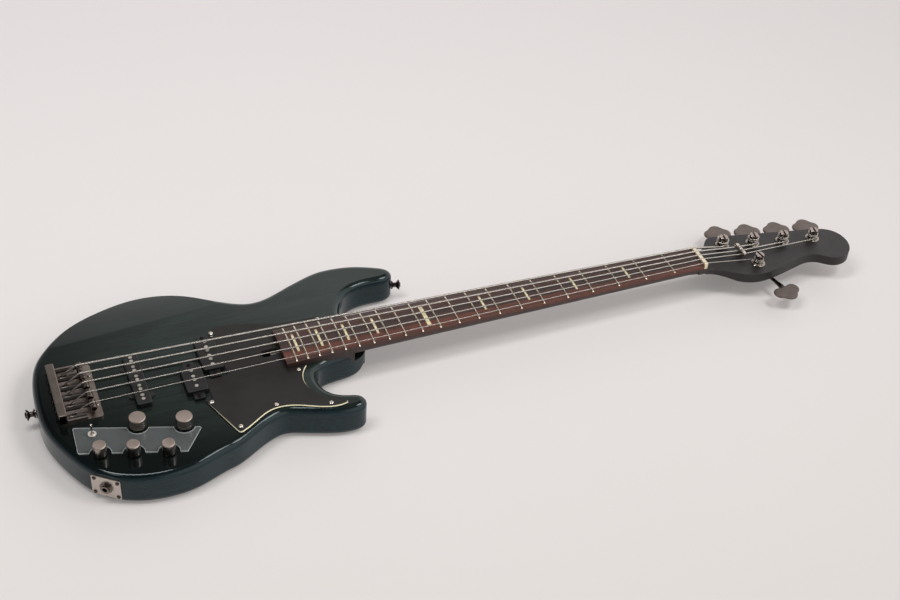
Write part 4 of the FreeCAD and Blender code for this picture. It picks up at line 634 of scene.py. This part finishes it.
def upper_rim(node: str) -> np.ndarray:
    """Outer outline of a flat CAD node's upper face.

    Border edges belong to one upper triangle only. The chain starts at the farthest point along X and doubles
    at each pass, because the table of followers is looked up in itself.

    Args:
        node: CAD node that lies flat.

    Returns:
        Array (n, 2) of points in millimetres, anticlockwise.
    """
    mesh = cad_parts[node].data
    mesh.calc_loop_triangles()
    spots = np.empty(len(mesh.vertices) * 3, np.float32)
    mesh.vertices.foreach_get("co", spots)
    spots, same = np.unique(np.round(spots.reshape(-1, 3) / MM, 3), axis=0, return_inverse=True)
    corners = np.empty(len(mesh.loop_triangles) * 3, np.int32)
    mesh.loop_triangles.foreach_get("vertices", corners)
    upper = same.ravel()[corners].reshape(-1, 3)
    upper = upper[(spots[upper, 2] > spots[:, 2].max() - 0.01).all(1)]
    upper = upper[(upper != np.roll(upper, 1, axis=1)).all(1)]
    start, end = upper.ravel(), np.roll(upper, -1, axis=1).ravel()
    border = ~np.isin(start * len(spots) + end, end * len(spots) + start)
    leap = np.zeros(len(spots), int)
    leap[start[border]] = end[border]
    first = start[border][np.argmax(spots[start[border], 0])]
    chain = np.array([first])
    while first not in leap[chain]:
        chain, leap = np.append(chain, leap[chain]), leap[leap]
    rest = leap[chain]
    return spots[np.append(chain, rest[:np.argmax(rest == first)]), :2]


def flanks(rim: np.ndarray) -> np.ndarray:
    """Outward unit normals of the edges of a closed anticlockwise outline."""
    ahead = np.roll(rim, -1, axis=0) - rim
    ahead /= np.linalg.norm(ahead, axis=1, keepdims=True)
    return np.stack([ahead[:, 1], -ahead[:, 0]], 1)


def outward(rim: np.ndarray) -> np.ndarray:
    """Mitred outward directions at the points of a closed anticlockwise outline."""
    flank = flanks(rim)
    out = flank + np.roll(flank, 1, axis=0)
    return out / np.maximum((out * flank).sum(1, keepdims=True), 0.4)


def edge_bead(rim: np.ndarray, level: float, radius: float, sides: int = 8) -> Surface:
    """Round bead along a closed flat outline: point = rim + r (cos a out + sin a up).

    Args:
        rim: outline (n, 2) in millimetres, anticlockwise.
        level: height of the bead's middle.
        radius: radius of the bead.
        sides: points round the bead.

    Returns:
        The closed bead.
    """
    out = np.column_stack([outward(rim), np.zeros(len(rim))])[:, None]
    middle = np.column_stack([rim, np.full(len(rim), level)])[:, None]
    angle = np.linspace(0, 2 * np.pi, sides, endpoint=False)[None, :, None]
    return grid(middle + radius * (np.cos(angle) * out + np.sin(angle) * UP), close_rows=True, close_cols=True)


def oval(centre: tuple[float, float], half: tuple[float, float], square: float = 1.0, steps: int = 48) -> np.ndarray:
    """Superellipse outline: x = a |cos t|^s, y = b |sin t|^s with the signs kept.

    Args:
        centre: middle in millimetres.
        half: half length along X and half width along Y.
        square: exponent s, 1 for an ellipse and less for squarer ends.
        steps: points of the outline.

    Returns:
        Array (steps, 2), anticlockwise.
    """
    t = np.linspace(0, 2 * np.pi, steps, endpoint=False)
    wave = np.stack([np.cos(t), np.sin(t)], 1)
    return np.array(centre) + np.sign(wave) * np.abs(wave) ** square * np.array(half)


def pad(rim: np.ndarray, low: float, top: float) -> Surface:
    """Flat pad over a star-shaped outline: middle, rim and a wall down to its foot."""
    middle = np.repeat(rim.mean(0)[None], len(rim), 0)
    rows = [np.column_stack([flat, np.full(len(rim), level)])
            for flat, level in ((middle, top), (rim, top), (rim, low))]
    return grid(np.stack(rows), close_cols=True)


def make_piece(name: str, surfaces: list[Surface], finish: Finish, body: str = ROOT,
               replaces: tuple[str, ...] = (), sharp_deg: float = 40.0) -> bpy.types.Object:
    """Turn surfaces into one object that rides on a body.

    Args:
        name: object name.
        surfaces: shapes in millimetres, merged into one mesh.
        finish: the piece's finish.
        body: body that carries the piece.
        replaces: nodes that the piece stands for.
        sharp_deg: edges sharper than this stay crisp.

    Returns:
        The new object at the origin.
    """
    starts = np.cumsum([0] + [len(s.points) for s in surfaces[:-1]])
    points = np.concatenate([s.points for s in surfaces]) * MM
    quads = np.concatenate([s.quads + start for s, start in zip(surfaces, starts)])
    mesh = bpy.data.meshes.new(name)
    mesh.from_pydata(points, [], quads.tolist())
    if surfaces[0].along is not None:
        length = mesh.attributes.new("along_mm", "FLOAT", "POINT")
        length.data.foreach_set("value", np.concatenate([s.along for s in surfaces]).astype(np.float32))
    shape = bmesh.new()
    shape.from_mesh(mesh)
    bmesh.ops.remove_doubles(shape, verts=shape.verts, dist=WELD)
    bmesh.ops.dissolve_degenerate(shape, edges=shape.edges, dist=WELD)
    bmesh.ops.delete(shape, geom=[v for v in shape.verts if not v.link_faces], context="VERTS")
    bmesh.ops.recalc_face_normals(shape, faces=shape.faces)
    shape.to_mesh(mesh)
    shape.free()
    mesh.shade_smooth()
    mesh.set_sharp_from_angle(angle=math.radians(sharp_deg))
    mesh.materials.append(finish.material())
    piece = bpy.data.objects.new(name, mesh)
    bpy.context.scene.collection.objects.link(piece)
    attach(piece, body)
    if replaces:
        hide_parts(*replaces)
    log.info("piece %s: %d faces on %s", name, len(mesh.polygons), body)
    return piece


def dress(finish: Finish, *nodes: str) -> None:
    """Give CAD nodes a finish in place of their plain material."""
    for name in nodes:
        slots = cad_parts[name].data.materials
        slots.clear()
        slots.append(finish.material())
        log.info("node %s dressed in %s", name, finish.name)


# strings

@dataclass
class Strings:
    """Five round-wound strings from the body's back over the saddles and the nut to the tuner posts."""

    gauges: tuple[float, ...] = (3.3, 2.67, 2.16, 1.65, 1.14)
    nut_spacing: float = 8.7
    saddle_level: float = 64.4
    nut_level: float = 57.6
    foot_level: float = 4.0
    exit_x: float = -30.0
    exit_level: float = 49.5
    retainer_x: float = 937.0
    retainer_under: float = 50.2
    retainer_gap: float = 0.05
    coil_start: float = 46.4
    coil_gap: float = 0.6
    coil_turns: tuple[float, ...] = (1.75, 2.25, 2.75, 2.75, 2.75)
    coil_steps: int = 48
    post_radius: float = 5.85
    level_run: float = 8.0
    saddle_line: float = -4.5
    saddle_stagger: float = 0.8
    saddle_back: float = 5.0
    bend: float = 2.0
    saddle_bend: float = 2.4

    def winding(self, k: int) -> tuple[np.ndarray, np.ndarray]:
        """Helix of one string round its post: radius r, rising by a gauge and a gap each turn.

        Args:
            k: string number, 0 for the lowest.

        Returns:
            Points of the helix and the flat direction in which the string meets it.
        """
        gauge = self.gauges[k]
        post = np.array(POSTS[k], float)
        radius = self.post_radius + gauge / 2
        nut = np.array([SCALE_LENGTH, (MIDDLE_STRING - k) * self.nut_spacing])
        reach = post - nut
        heading = math.atan2(reach[1], reach[0]) - HANDS[k] * math.asin(radius / np.linalg.norm(reach))
        lead = np.array([math.cos(heading), math.sin(heading)])
        touch = nut + lead * math.sqrt(reach @ reach - radius ** 2)
        start = math.atan2(touch[1] - post[1], touch[0] - post[0])
        turn = np.linspace(0, 2 * np.pi * self.coil_turns[k], int(self.coil_steps * self.coil_turns[k]) + 1)
        rise = self.coil_start + gauge / 2 + (gauge + self.coil_gap) * turn / (2 * np.pi)
        angle = start + HANDS[k] * turn
        return np.stack([post[0] + radius * np.cos(angle), post[1] + radius * np.sin(angle), rise], 1), lead

    def route(self, k: int) -> tuple[np.ndarray, list[float]]:
        """Corner points of a taut string before its winding, with the reach of each bend."""
        gauge, lane = self.gauges[k], MIDDLE_STRING - k
        y_bridge, y_nut = lane * STRING_SPACING, lane * self.nut_spacing
        coil, lead = self.winding(k)
        crest = self.saddle_line - self.saddle_stagger * lane - self.saddle_back
        saddle = [crest, y_bridge, self.saddle_level - y_bridge ** 2 / 2 / BOARD_RADIUS]
        nut = [SCALE_LENGTH, y_nut, self.nut_level + gauge / 2 - y_nut ** 2 / 2 / BOARD_RADIUS]
        points = [[self.exit_x, y_bridge, self.foot_level], [self.exit_x, y_bridge, self.exit_level], saddle, nut]
        bends = [self.bend, self.saddle_bend, self.bend]
        if HANDS[k] > 0 and k > 0:
            ahead = (self.retainer_x - SCALE_LENGTH) / lead[0]
            under = self.retainer_under - self.retainer_gap - gauge / 2
            points.append([self.retainer_x, y_nut + lead[1] * ahead, under])
            bends.append(self.bend)
        slope = (coil[1, 2] - coil[0, 2]) / np.linalg.norm(coil[1, :2] - coil[0, :2])
        before = np.append(coil[0, :2] - lead * self.level_run, coil[0, 2] - self.level_run * slope)
        return np.array(points + [before.tolist()]), bends + [self.bend]

    def path(self, k: int) -> np.ndarray:
        """Taut runs joined by parabolic bends, then the winding."""
        points, bends = self.route(k)
        coil, _ = self.winding(k)
        return np.concatenate([eased(np.concatenate([points, coil[:1]]), bends, 9), coil[1:]])

    def build(self) -> None:
        """Make all strings as one piece."""
        tubes = [swept(self.path(k), gauge / 2, 14) for k, gauge in enumerate(self.gauges)]
        make_piece("strings_wound", tubes, STRING, replaces=("strings",), sharp_deg=80.0)


# screws

def cross_head(radius: float, height: float, slot: float, steps: int = 36) -> Surface:
    """Screw head on a polar grid: dome h (1 - r^4) less a cross-shaped recess with soft walls.

    Args:
        radius: head radius in millimetres.
        height: dome height.
        slot: half width of the cross.
        steps: steps round the head.

    Returns:
        The head, open below.
    """
    fall, arm, soft, depth = 0.55, 0.72, 0.12, 0.7  # shares of the height or the radius
    r = np.concatenate([np.linspace(0, 0.92, 14), [0.97, 1.0, 1.0]])[:, None] * radius
    a = np.linspace(0, 2 * np.pi, steps, endpoint=False)[None, :]
    x, y = r * np.cos(a), r * np.sin(a)
    dome = height * (1 - fall * (r / radius) ** 4) + 0 * a
    near = np.minimum(np.abs(x), np.abs(y))
    inside = np.clip((slot * 1.25 - near) / (slot * 0.5), 0, 1)
    inside = inside * np.clip((arm * radius - r) / (soft * radius), 0, 1)
    level = dome - inside * height * depth
    level[-1] = 0.0
    return grid(np.stack([x, y, level], -1), close_cols=True)


def heads_at(head: Surface, places: list[Point], twist: float = 0.7) -> list[Surface]:
    """Copies of an upright screw head, each turned differently.

    Args:
        head: head about the origin.
        places: seats in millimetres.
        twist: turn from one head to the next, in radians.

    Returns:
        The placed heads.
    """
    out = []
    for i, place in enumerate(places):
        c, s = math.cos(twist * (i + 1)), math.sin(twist * (i + 1))
        out.append(head.moved(np.array(place, float), np.array([c, s, 0.0]), np.array([-s, c, 0.0]), UP))
    return out


# controls

@dataclass
class Controls:
    """Knobs, toggle switch and clear control plate."""

    knobs: tuple[tuple[str, float, float, float], ...] = (
        ("volume", 41, -78, 10.5), ("blend", 95, -94, 10.5), ("bass", -11, -110, 8.2),
        ("middle", 27, -121, 8.2), ("treble", 67, -132, 8.2))
    low: float = 46.8
    top: float = 62.8
    plate_top: float = 47.0
    edge_radius: float = 0.24
    edge_drop: float = 0.1

    def knob(self, radius: float) -> Surface:
        """Turned knob: hollow foot, straight wall, bright chamfer, slightly dished top."""
        profile = rounded_profile([(6.6, self.low + 3.5, 0), (6.6, self.low, 0.3), (radius - 0.2, self.low, 0.2),
                                   (radius, self.low + 1.2, 0.4), (radius, self.top - 1.1, 0.3),
                                   (radius - 0.9, self.top, 0.25), (radius - 1.6, self.top - 0.12, 0.2),
                                   (0.0, self.top - 0.2, 0)])
        return turned(profile, 96)

    def build(self) -> None:
        """Make the knobs and dress the plate and the switch."""
        for name, x, y, radius in self.knobs:
            make_piece(f"turned_knob_{name}", [self.knob(radius).at(x, y, 0)], KNOB, f"knob_{name}_body",
                       (f"knob_{name}",), sharp_deg=28.0)
        # Pale bead round the plate's top edge: a painted highlight.
        edge = edge_bead(upper_rim("control_plate"), self.plate_top - self.edge_drop, self.edge_radius)
        make_piece("plate_edge_highlight", [edge], ACRYLIC_EDGE)
        dress(ACRYLIC, "control_plate")
        dress(NUT_NICKEL, "toggle_switch")
        # Lever with a painted highlight on its flats and painted shade on its walls.
        dress(LEVER, "toggle_lever")
        dress(NICKEL, "pots")


# tuners

@dataclass
class Tuners:
    """Clover keys, stepped bushings, slotted posts and base plates."""

    bass_side: tuple[float, float] = (0.177, 0.984)
    treble_side: tuple[float, float] = (0.164, -0.986)
    worm_offset: float = 15.0
    worm_level: float = 22.5
    head_face: float = 43.0
    key_half: float = 1.5
    blade_middle: tuple[float, float] = (0.0, 54.0)
    lobes: tuple[Point, ...] = (
        (-11.3, 51.5, 10.0), (11.3, 51.5, 10.0), (0, 59.9, 11.0), (0, 51, 10.0), (-6.2, 57.6, 7.9), (6.2, 57.6, 7.9))
    lobe_blend: float = 1.1
    lobe_swell: float = 0.45
    rim_round: float = 1.0
    flat_share: float = 0.94

    def side(self, k: int) -> np.ndarray:
        """Unit direction of a tuner's key shaft."""
        flat = np.array(self.bass_side if HANDS[k] > 0 else self.treble_side)
        return np.append(flat / np.linalg.norm(flat), 0.0)

    def clover(self) -> Surface:
        """Flat three-lobed key: soft union of circles in polar form, with a rounded rim.

        The outline is r(a) = log(sum exp(p r_i(a))) / p over the circles' far crossings, and each ring of
        the grid is the outline shrunk towards the middle while the height follows a quarter round.

        Returns:
            The key's blade about its own shaft axis.
        """
        centre = np.array(self.blade_middle)
        lobes = np.array(self.lobes)
        a = np.linspace(0, 2 * np.pi, 120, endpoint=False)[None, :]
        dx, dy, r = (lobes[:, 0] - centre[0])[:, None], (lobes[:, 1] - centre[1])[:, None], lobes[:, 2:]
        forward = dx * np.cos(a) + dy * np.sin(a)
        aside = r ** 2 - (dx ** 2 + dy ** 2 - forward ** 2)
        reach = np.where(aside > 0, forward + np.sqrt(np.maximum(aside, 0)), 0.0)
        outline = np.log(np.exp(self.lobe_blend * reach).sum(0)) / self.lobe_blend - self.lobe_swell
        bend = np.linspace(-np.pi / 2, np.pi / 2, 9)
        inset = self.rim_round * (1 - np.cos(bend))
        level = self.key_half * np.sin(bend)
        inner = np.array([0.0, 0.5, 0.85])
        flat = outline[None] * inner[:, None] * self.flat_share
        radii = np.concatenate([flat, outline[None] - inset[:, None], flat[::-1]])
        heights = np.concatenate([np.full(3, -self.key_half), level, np.full(3, self.key_half)])
        points = np.stack([centre[0] + radii * np.cos(a), centre[1] + radii * np.sin(a),
                           heights[:, None] + 0 * radii], -1)
        return grid(points, close_cols=True)

    def stem(self) -> Surface:
        """Turned key shaft that flares into the blade and carries the worm's rings."""
        worm = [(2.7 + 0.9 * (i % 4 in (1, 2)), -8 + 0.5 * i) for i in range(33)]
        profile = np.array([(0, -12.2), (2.5, -12.2), (2.5, -8.1)] + worm
                           + [(2.5, 8.1), (2.5, 27), (2.8, 31), (3.3, 36), (3.9, 40), (3.4, 43), (1.2, 44.4),
                              (0, 44.6)])
        return turned(profile, 40).lying()

    def bushing(self) -> Surface:
        """Stepped bushing: broad flange, cone and rolled lip round the post."""
        face = self.head_face
        profile = rounded_profile([(5.8, face - 2, 0), (5.8, face + 3.0, 0.2), (7.9, face + 3.0, 0.4),
                                   (8.2, face + 1.7, 0.3), (9.6, face + 1.5, 0.3), (10.5, face + 0.7, 0.3),
                                   (10.5, face, 0)])
        return turned(profile, 72)

    def build(self) -> None:
        """Make keys and bushings, and dress posts, plates, screws and retainer."""
        for k, (x, y) in enumerate(POSTS):
            side = self.side(k)
            forward = np.cross(side, UP)
            base = np.array([x, y, self.worm_level]) + HANDS[k] * self.worm_offset * forward
            blade, stem = (s.moved(base, forward, side, UP) for s in (self.clover(), self.stem()))
            make_piece(f"clover_key_{k + 1}", [blade], KEY_METAL, f"tuner_key_{k + 1}_body",
                       (f"tuner_key_{k + 1}",))
            make_piece(f"key_shaft_{k + 1}", [stem], STEM, f"tuner_key_{k + 1}_body")
            dress(BLACK_NICKEL_BRIGHT, f"tuner_post_{k + 1}")
        rings = [self.bushing().at(x, y, 0) for x, y in POSTS]
        make_piece("stepped_bushings", rings, BLACK_NICKEL_BRIGHT, replaces=("tuner_bushings",))
        dress(BLACK_NICKEL, "tuner_plates", "headstock_screws")
        dress(RETAINER, "string_retainer")


# neck

@dataclass
class Neck:
    """Fingerboard furniture: crowned frets with eased ends, and the dressed wooden parts."""

    fret_count: int = 21
    nut_half: float = 21.5
    end_half: float = 34.4
    board_end: float = 243.5
    board_top: float = 56.0
    crown_half: float = 1.3
    crown_rise: float = 1.1
    crown_seat: float = 0.02
    edge_gap: float = 0.3

    def fret(self, number: int) -> Surface:
        """One fret: a crown arc carried over the board's curve, drawn down at both ends.

        Args:
            number: fret number from the nut.

        Returns:
            The fret's closed crown.
        """
        x = SCALE_LENGTH * 2 ** (-number / 12)
        share = (SCALE_LENGTH - x) / (SCALE_LENGTH - self.board_end)
        half = self.nut_half + (self.end_half - self.nut_half) * share
        span = np.linspace(-0.985, 0.985, 25)
        drawn = np.sqrt(1 - np.clip((np.abs(span) - 0.96) / 0.04, 0, 1) ** 2 * 0.6)
        ease = np.concatenate([[0, 0.45], drawn, [0.45, 0]])
        across = np.concatenate([[-1, -1], span, [1, 1]]) * (half - self.edge_gap)
        a = np.linspace(0, np.pi, 11)[None, :]
        level = self.board_top + self.crown_seat - across ** 2 / 2 / BOARD_RADIUS
        wide = self.crown_half * np.minimum(ease + 0.3, 1)[:, None]
        points = np.stack([x + wide * np.cos(a), across[:, None] + 0 * a,
                           level[:, None] + self.crown_rise * np.sin(a) ** 0.8 * ease[:, None]], -1)
        return grid(points, close_cols=True)

    def build(self) -> None:
        """Make the frets and dress neck, board, inlays and nut."""
        frets = [self.fret(n) for n in range(1, self.fret_count + 1)]
        make_piece("crowned_frets", frets, FRET_WIRE, replaces=("frets",), sharp_deg=60.0)
        dress(NECK, "neck")
        dress(ROSEWOOD, "fingerboard")
        dress(PEARL, "inlays")
        dress(BONE, "nut")
        dress(ROD, "truss_rod")


# body and what is fixed to it

@dataclass
class BodyWork:
    """Body, pickguard, pickups, jack and back hardware."""

    guard_top: float = 47.4
    bevel_width: float = 0.8
    bevel_drop: float = 1.2
    neck_notch: tuple[float, float] = (200.0, 37.0)
    pickup_side: float = -62.0
    facing_limit: float = -0.85
    screw_head: Point = (2.9, 1.3, 0.42)
    guard_screws: Spots = (
        (167, 60), (136, -66), (159, -118), (211, -95), (277, -113), (256, -42), (309, 45))

    def guard_bevel(self) -> Surface:
        """Bevelled cream edge: a three-cornered strip set off outward along the guard's rim.

        It stays away from the neck's notch and from the edge beside the pickups.

        Returns:
            The strip outside the top ply's wall.
        """
        rim = upper_rim("pickguard_top_ply")
        flank, out = flanks(rim), outward(rim)
        inner = (rim[:, 0] > self.neck_notch[0]) & (np.abs(rim[:, 1]) < self.neck_notch[1])
        facing_bridge = np.minimum(flank[:, 0], np.roll(flank[:, 0], 1)) < self.facing_limit
        beside_pickup = facing_bridge & (rim[:, 1] > self.pickup_side)
        free = (~inner & ~beside_pickup).astype(float)
        top = self.guard_top - 0.02
        corners = [(0.0, 0.0), (self.bevel_width, self.bevel_drop), (0.0, self.bevel_drop)]
        rings = [np.column_stack([rim + out * (reach * free)[:, None], top - drop * free]) for reach, drop in corners]
        strip = grid(np.stack(rings, 1), close_rows=True, close_cols=True)
        strip.quads = strip.quads[free[strip.quads // 3].max(1) > 0]
        return strip

    def build(self) -> None:
        """Make the visible screw heads and dress the nodes."""
        make_piece("guard_cream_bevel", [self.guard_bevel()], GUARD_BEVEL, sharp_deg=30.0)
        dress(LACQUER, "body_wood")
        dress(GUARD, "pickguard_top_ply")
        dress(GUARD_CORE, "pickguard_lower_ply")
        seats = [(x, y, self.guard_top) for x, y in self.guard_screws]
        make_piece("guard_screw_heads", heads_at(cross_head(*self.screw_head), seats), NICKEL_BRIGHT,
                   replaces=("pickguard_screws",))
        dress(PICKUP, "split_pickup_covers", "bridge_pickup_cover")
        dress(COPPER, "pickup_coils")
        dress(POLE, "pole_pieces")
        dress(SHADED, "pickup_screws")
        dress(STEM, "plate_screws")
        dress(NICKEL, "jack_plate")
        # The jack's nut and socket are drawn darker as painted shade.
        dress(NICKEL_DEEP, "jack_nut", "jack_socket")
        dress(STEM, "strap_buttons", "strap_screws")
        dress(BLACK_NICKEL_BRIGHT, "neck_plate", "neck_screws", "string_ferrules")
        dress(COVER, "cavity_cover")
        dress(BOARD, "preamp_board")
        dress(CELL, "battery")


# bridge

@dataclass
class Bridge:
    """Plate with key-hole rims, dark pads of painted shade in the key-holes and channels, milled block, and turned
    saddles on height screws.
    """

    plate_top: float = 48.0
    keyhole_x: float = -29.0
    keyhole_half: tuple[float, float] = (5.4, 2.9)
    keyhole_lift: float = 0.08
    rim_lift: float = 0.1
    rim_radius: float = 0.5
    channel_x: float = -24.6
    channel_half: tuple[float, float] = (11.6, 3.1)
    channel_side: float = 6.4
    channel_lift: float = 0.04
    channel_square: float = 0.35
    barrel_radius: float = 4.3
    barrel_half: float = 7.5
    barrel_back: float = 6.6
    groove_depth: float = 0.9
    screw_radius: float = 1.5
    screw_side: float = 5.2
    screw_rise: float = 0.4
    screw_seat: float = 0.05

    def barrel(self) -> Surface:
        """Turned saddle about Y: rounded rims, two ring grooves and a wider groove for the string."""
        r, half = self.barrel_radius, self.barrel_half
        side = [(r - 0.8, half, 0.2), (r, half - 0.8, 0.2), (r, 3.5, 0.15), (r - 0.7, 3.1, 0.15), (r, 2.7, 0.15),
                (r, 2.3, 0.15), (r - self.groove_depth, 1.5, 0.2)]
        mirror = [(radius, -y, ease) for radius, y, ease in side[::-1]]
        profile = rounded_profile([(0, half, 0), *side, *mirror, (0, -half, 0)])
        return turned(profile, 48).lying()

    def height_screw(self, top: float) -> Surface:
        """Socket screw from the plate to a little above the barrel."""
        r, foot = self.screw_radius, self.plate_top + self.screw_seat
        return turned(np.array([(0, top - 1.3), (0.75, top - 1.3), (0.75, top), (r - 0.25, top), (r, top - 0.25),
                                (r, foot), (0, foot)]), 24)

    def saddle(self, k: int) -> list[Surface]:
        """Barrel and height screws in the place of one CAD saddle."""
        low, high = (np.array(corner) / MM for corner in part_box(f"saddle_{k}"))
        axis = np.array([low[0] + self.barrel_back, (low[1] + high[1]) / 2, high[2] - self.barrel_radius])
        screw = self.height_screw(high[2] + self.screw_rise)
        sides = (axis[1] - self.screw_side, axis[1] + self.screw_side)
        return [self.barrel().at(*axis), *(screw.at(axis[0], y, 0.0) for y in sides)]

    def build(self) -> None:
        """Make saddles, rims and the dark pads of painted shade, and dress plate, block and screws."""
        middles = [(MIDDLE_STRING - k) * STRING_SPACING for k in range(len(POSTS))]
        holes = [oval((self.keyhole_x, y), self.keyhole_half) for y in middles]
        channels = [oval((self.channel_x, y - self.channel_side), self.channel_half, self.channel_square)
                    for y in middles]
        # Dark pads laid flat on the plate as painted shade.
        shade_pads = [pad(rim, self.plate_top, self.plate_top + lift)
                 for rims, lift in ((channels, self.channel_lift), (holes, self.keyhole_lift)) for rim in rims]
        make_piece("plate_channel_shade", shade_pads, CHANNEL_SHADE)
        rings = [edge_bead(rim, self.plate_top + self.rim_lift, self.rim_radius) for rim in holes]
        make_piece("keyhole_rims", rings, BLOCK)
        for k in range(1, len(POSTS) + 1):
            make_piece(f"barrel_saddle_{k}", self.saddle(k), SADDLE, f"saddle_{k}_body", (f"saddle_{k}",), 30.0)
        dress(BLACK_NICKEL, "bridge_plate")
        dress(BLOCK, "bridge_tail_block")
        dress(BLACK_NICKEL_BRIGHT, "bridge_screws")
        # Near black intonation screws: painted shade between the saddles.
        dress(SHADED, "intonation_screws")


# studio

@dataclass(frozen=True)
class SoftBox:
    """Rectangular lamp: name, place, point that it faces and sides in metres, power in watts."""

    name: str
    place: Point
    aim: Point
    width: float
    height: float
    watts: float


@dataclass
class Studio:
    """Pale paper floor, three soft boxes, a pale surround and the camera."""

    camera_place: Point = (-0.13742, -1.36465, 1.32837)
    camera_turn: Point = (49.9547, -3.3242, -21.5706)
    lens_mm: float = 58.2665
    sensor_mm: float = 36.0
    floor_half: float = 6.0
    floor_level: float = -0.0004
    sky_lean: Point = (-0.25, 0.0, 1.0)
    sky_tones: tuple[tuple[float, str], ...] = (
        (0.0, "#fbf8f7"), (0.585, "#f8f5f4"), (0.69, "#5c5a5a"), (1.0, "#7c7a7a"))
    sky_sides: tuple[float, float] = (-0.1, 0.3)
    sky_strengths: tuple[float, float] = (0.42, 1.38)
    lamps: tuple[SoftBox, ...] = (
        SoftBox("overhead_box", (-0.35, 0.05, 2.35), (0.3, 0.0, 0.0), 1.5, 0.5, 22.0),
        SoftBox("right_box", (1.45, -0.55, 1.95), (0.3, 0.0, 0.0), 0.7, 0.7, 13.5),
        SoftBox("left_box", (-1.25, -0.65, 2.2), (0.2, 0.0, 0.0), 0.6, 0.6, 2.5))

    def floor(self) -> None:
        """Level sheet of paper just under the body."""
        span = [-self.floor_half, 0.0, self.floor_half]
        x, y = np.meshgrid(span, span, indexing="ij")
        sheet = grid(np.stack([x, y, np.full_like(x, self.floor_level)], -1))
        mesh = bpy.data.meshes.new("paper_floor")
        mesh.from_pydata(sheet.points, [], sheet.quads.tolist())
        mesh.materials.append(PAPER.material())
        floor = bpy.data.objects.new("paper_floor", mesh)
        bpy.context.scene.collection.objects.link(floor)

    def light(self, soft_box: SoftBox) -> None:
        """Add one rectangular soft box."""
        lamp = bpy.data.lights.new(soft_box.name, "AREA")
        lamp.shape = "RECTANGLE"
        lamp.size, lamp.size_y = soft_box.width, soft_box.height
        lamp.energy = soft_box.watts
        holder = bpy.data.objects.new(soft_box.name, lamp)
        back = np.array(soft_box.place) - np.array(soft_box.aim)
        back /= np.linalg.norm(back)
        right = np.cross(np.array([0.0, 1.0, 0.0]), back)
        right /= np.linalg.norm(right)
        rise = np.cross(back, right)
        turn = np.eye(4)
        turn[:3, 0], turn[:3, 1], turn[:3, 2], turn[:3, 3] = right, rise, back, soft_box.place
        holder.matrix_world = turn.T
        bpy.context.scene.collection.objects.link(holder)

    def sky(self) -> None:
        """Soft surround: pale up to half height, dimmer on the left and darker overhead."""
        world = bpy.data.worlds.new("studio_surround")
        bpy.context.scene.world = world
        world.use_nodes = True
        world.node_tree.nodes.clear()
        add = partial(add_node, world.node_tree)
        way = add("TexCoord").outputs["Generated"]
        height = add("VectorMath", {0: way, 1: self.sky_lean}, operation="DOT_PRODUCT")
        tone = add("ValToRGB", {0: height.outputs["Value"]}, self.sky_tones)
        split = add("SeparateXYZ", {0: way})
        sides, strengths = self.sky_sides, self.sky_strengths
        strength = add("MapRange", {0: split.outputs[0], 1: sides[0], 2: sides[1], 3: strengths[0], 4: strengths[1]})
        back = add("Background", {"Color": tone, "Strength": strength})
        add("OutputWorld", {"Surface": back})

    def camera(self) -> None:
        """Camera at the photograph's place, framed for 900 by 600."""
        view = bpy.data.cameras.new("camera")
        view.lens = self.lens_mm
        view.sensor_width = self.sensor_mm
        view.sensor_fit = "HORIZONTAL"
        view.clip_end = 50.0
        holder = bpy.data.objects.new("camera", view)
        holder.location = self.camera_place
        holder.rotation_euler = [math.radians(a) for a in self.camera_turn]
        bpy.context.scene.collection.objects.link(holder)
        bpy.context.scene.camera = holder

    def build(self) -> None:
        """Set up floor, lamps, surround and camera."""
        self.floor()
        for soft_box in self.lamps:
            self.light(soft_box)
        self.sky()
        self.camera()
        bpy.context.scene.view_settings.view_transform = "Standard"


def main() -> None:
    logging.basicConfig(level=logging.INFO, format="%(name)s %(message)s")
    for part in (BodyWork(), Bridge(), Neck(), Strings(), Controls(), Tuners(), Studio()):
        part.build()
        log.info("%s done", type(part).__name__)


if __name__ == "__main__":
    main()
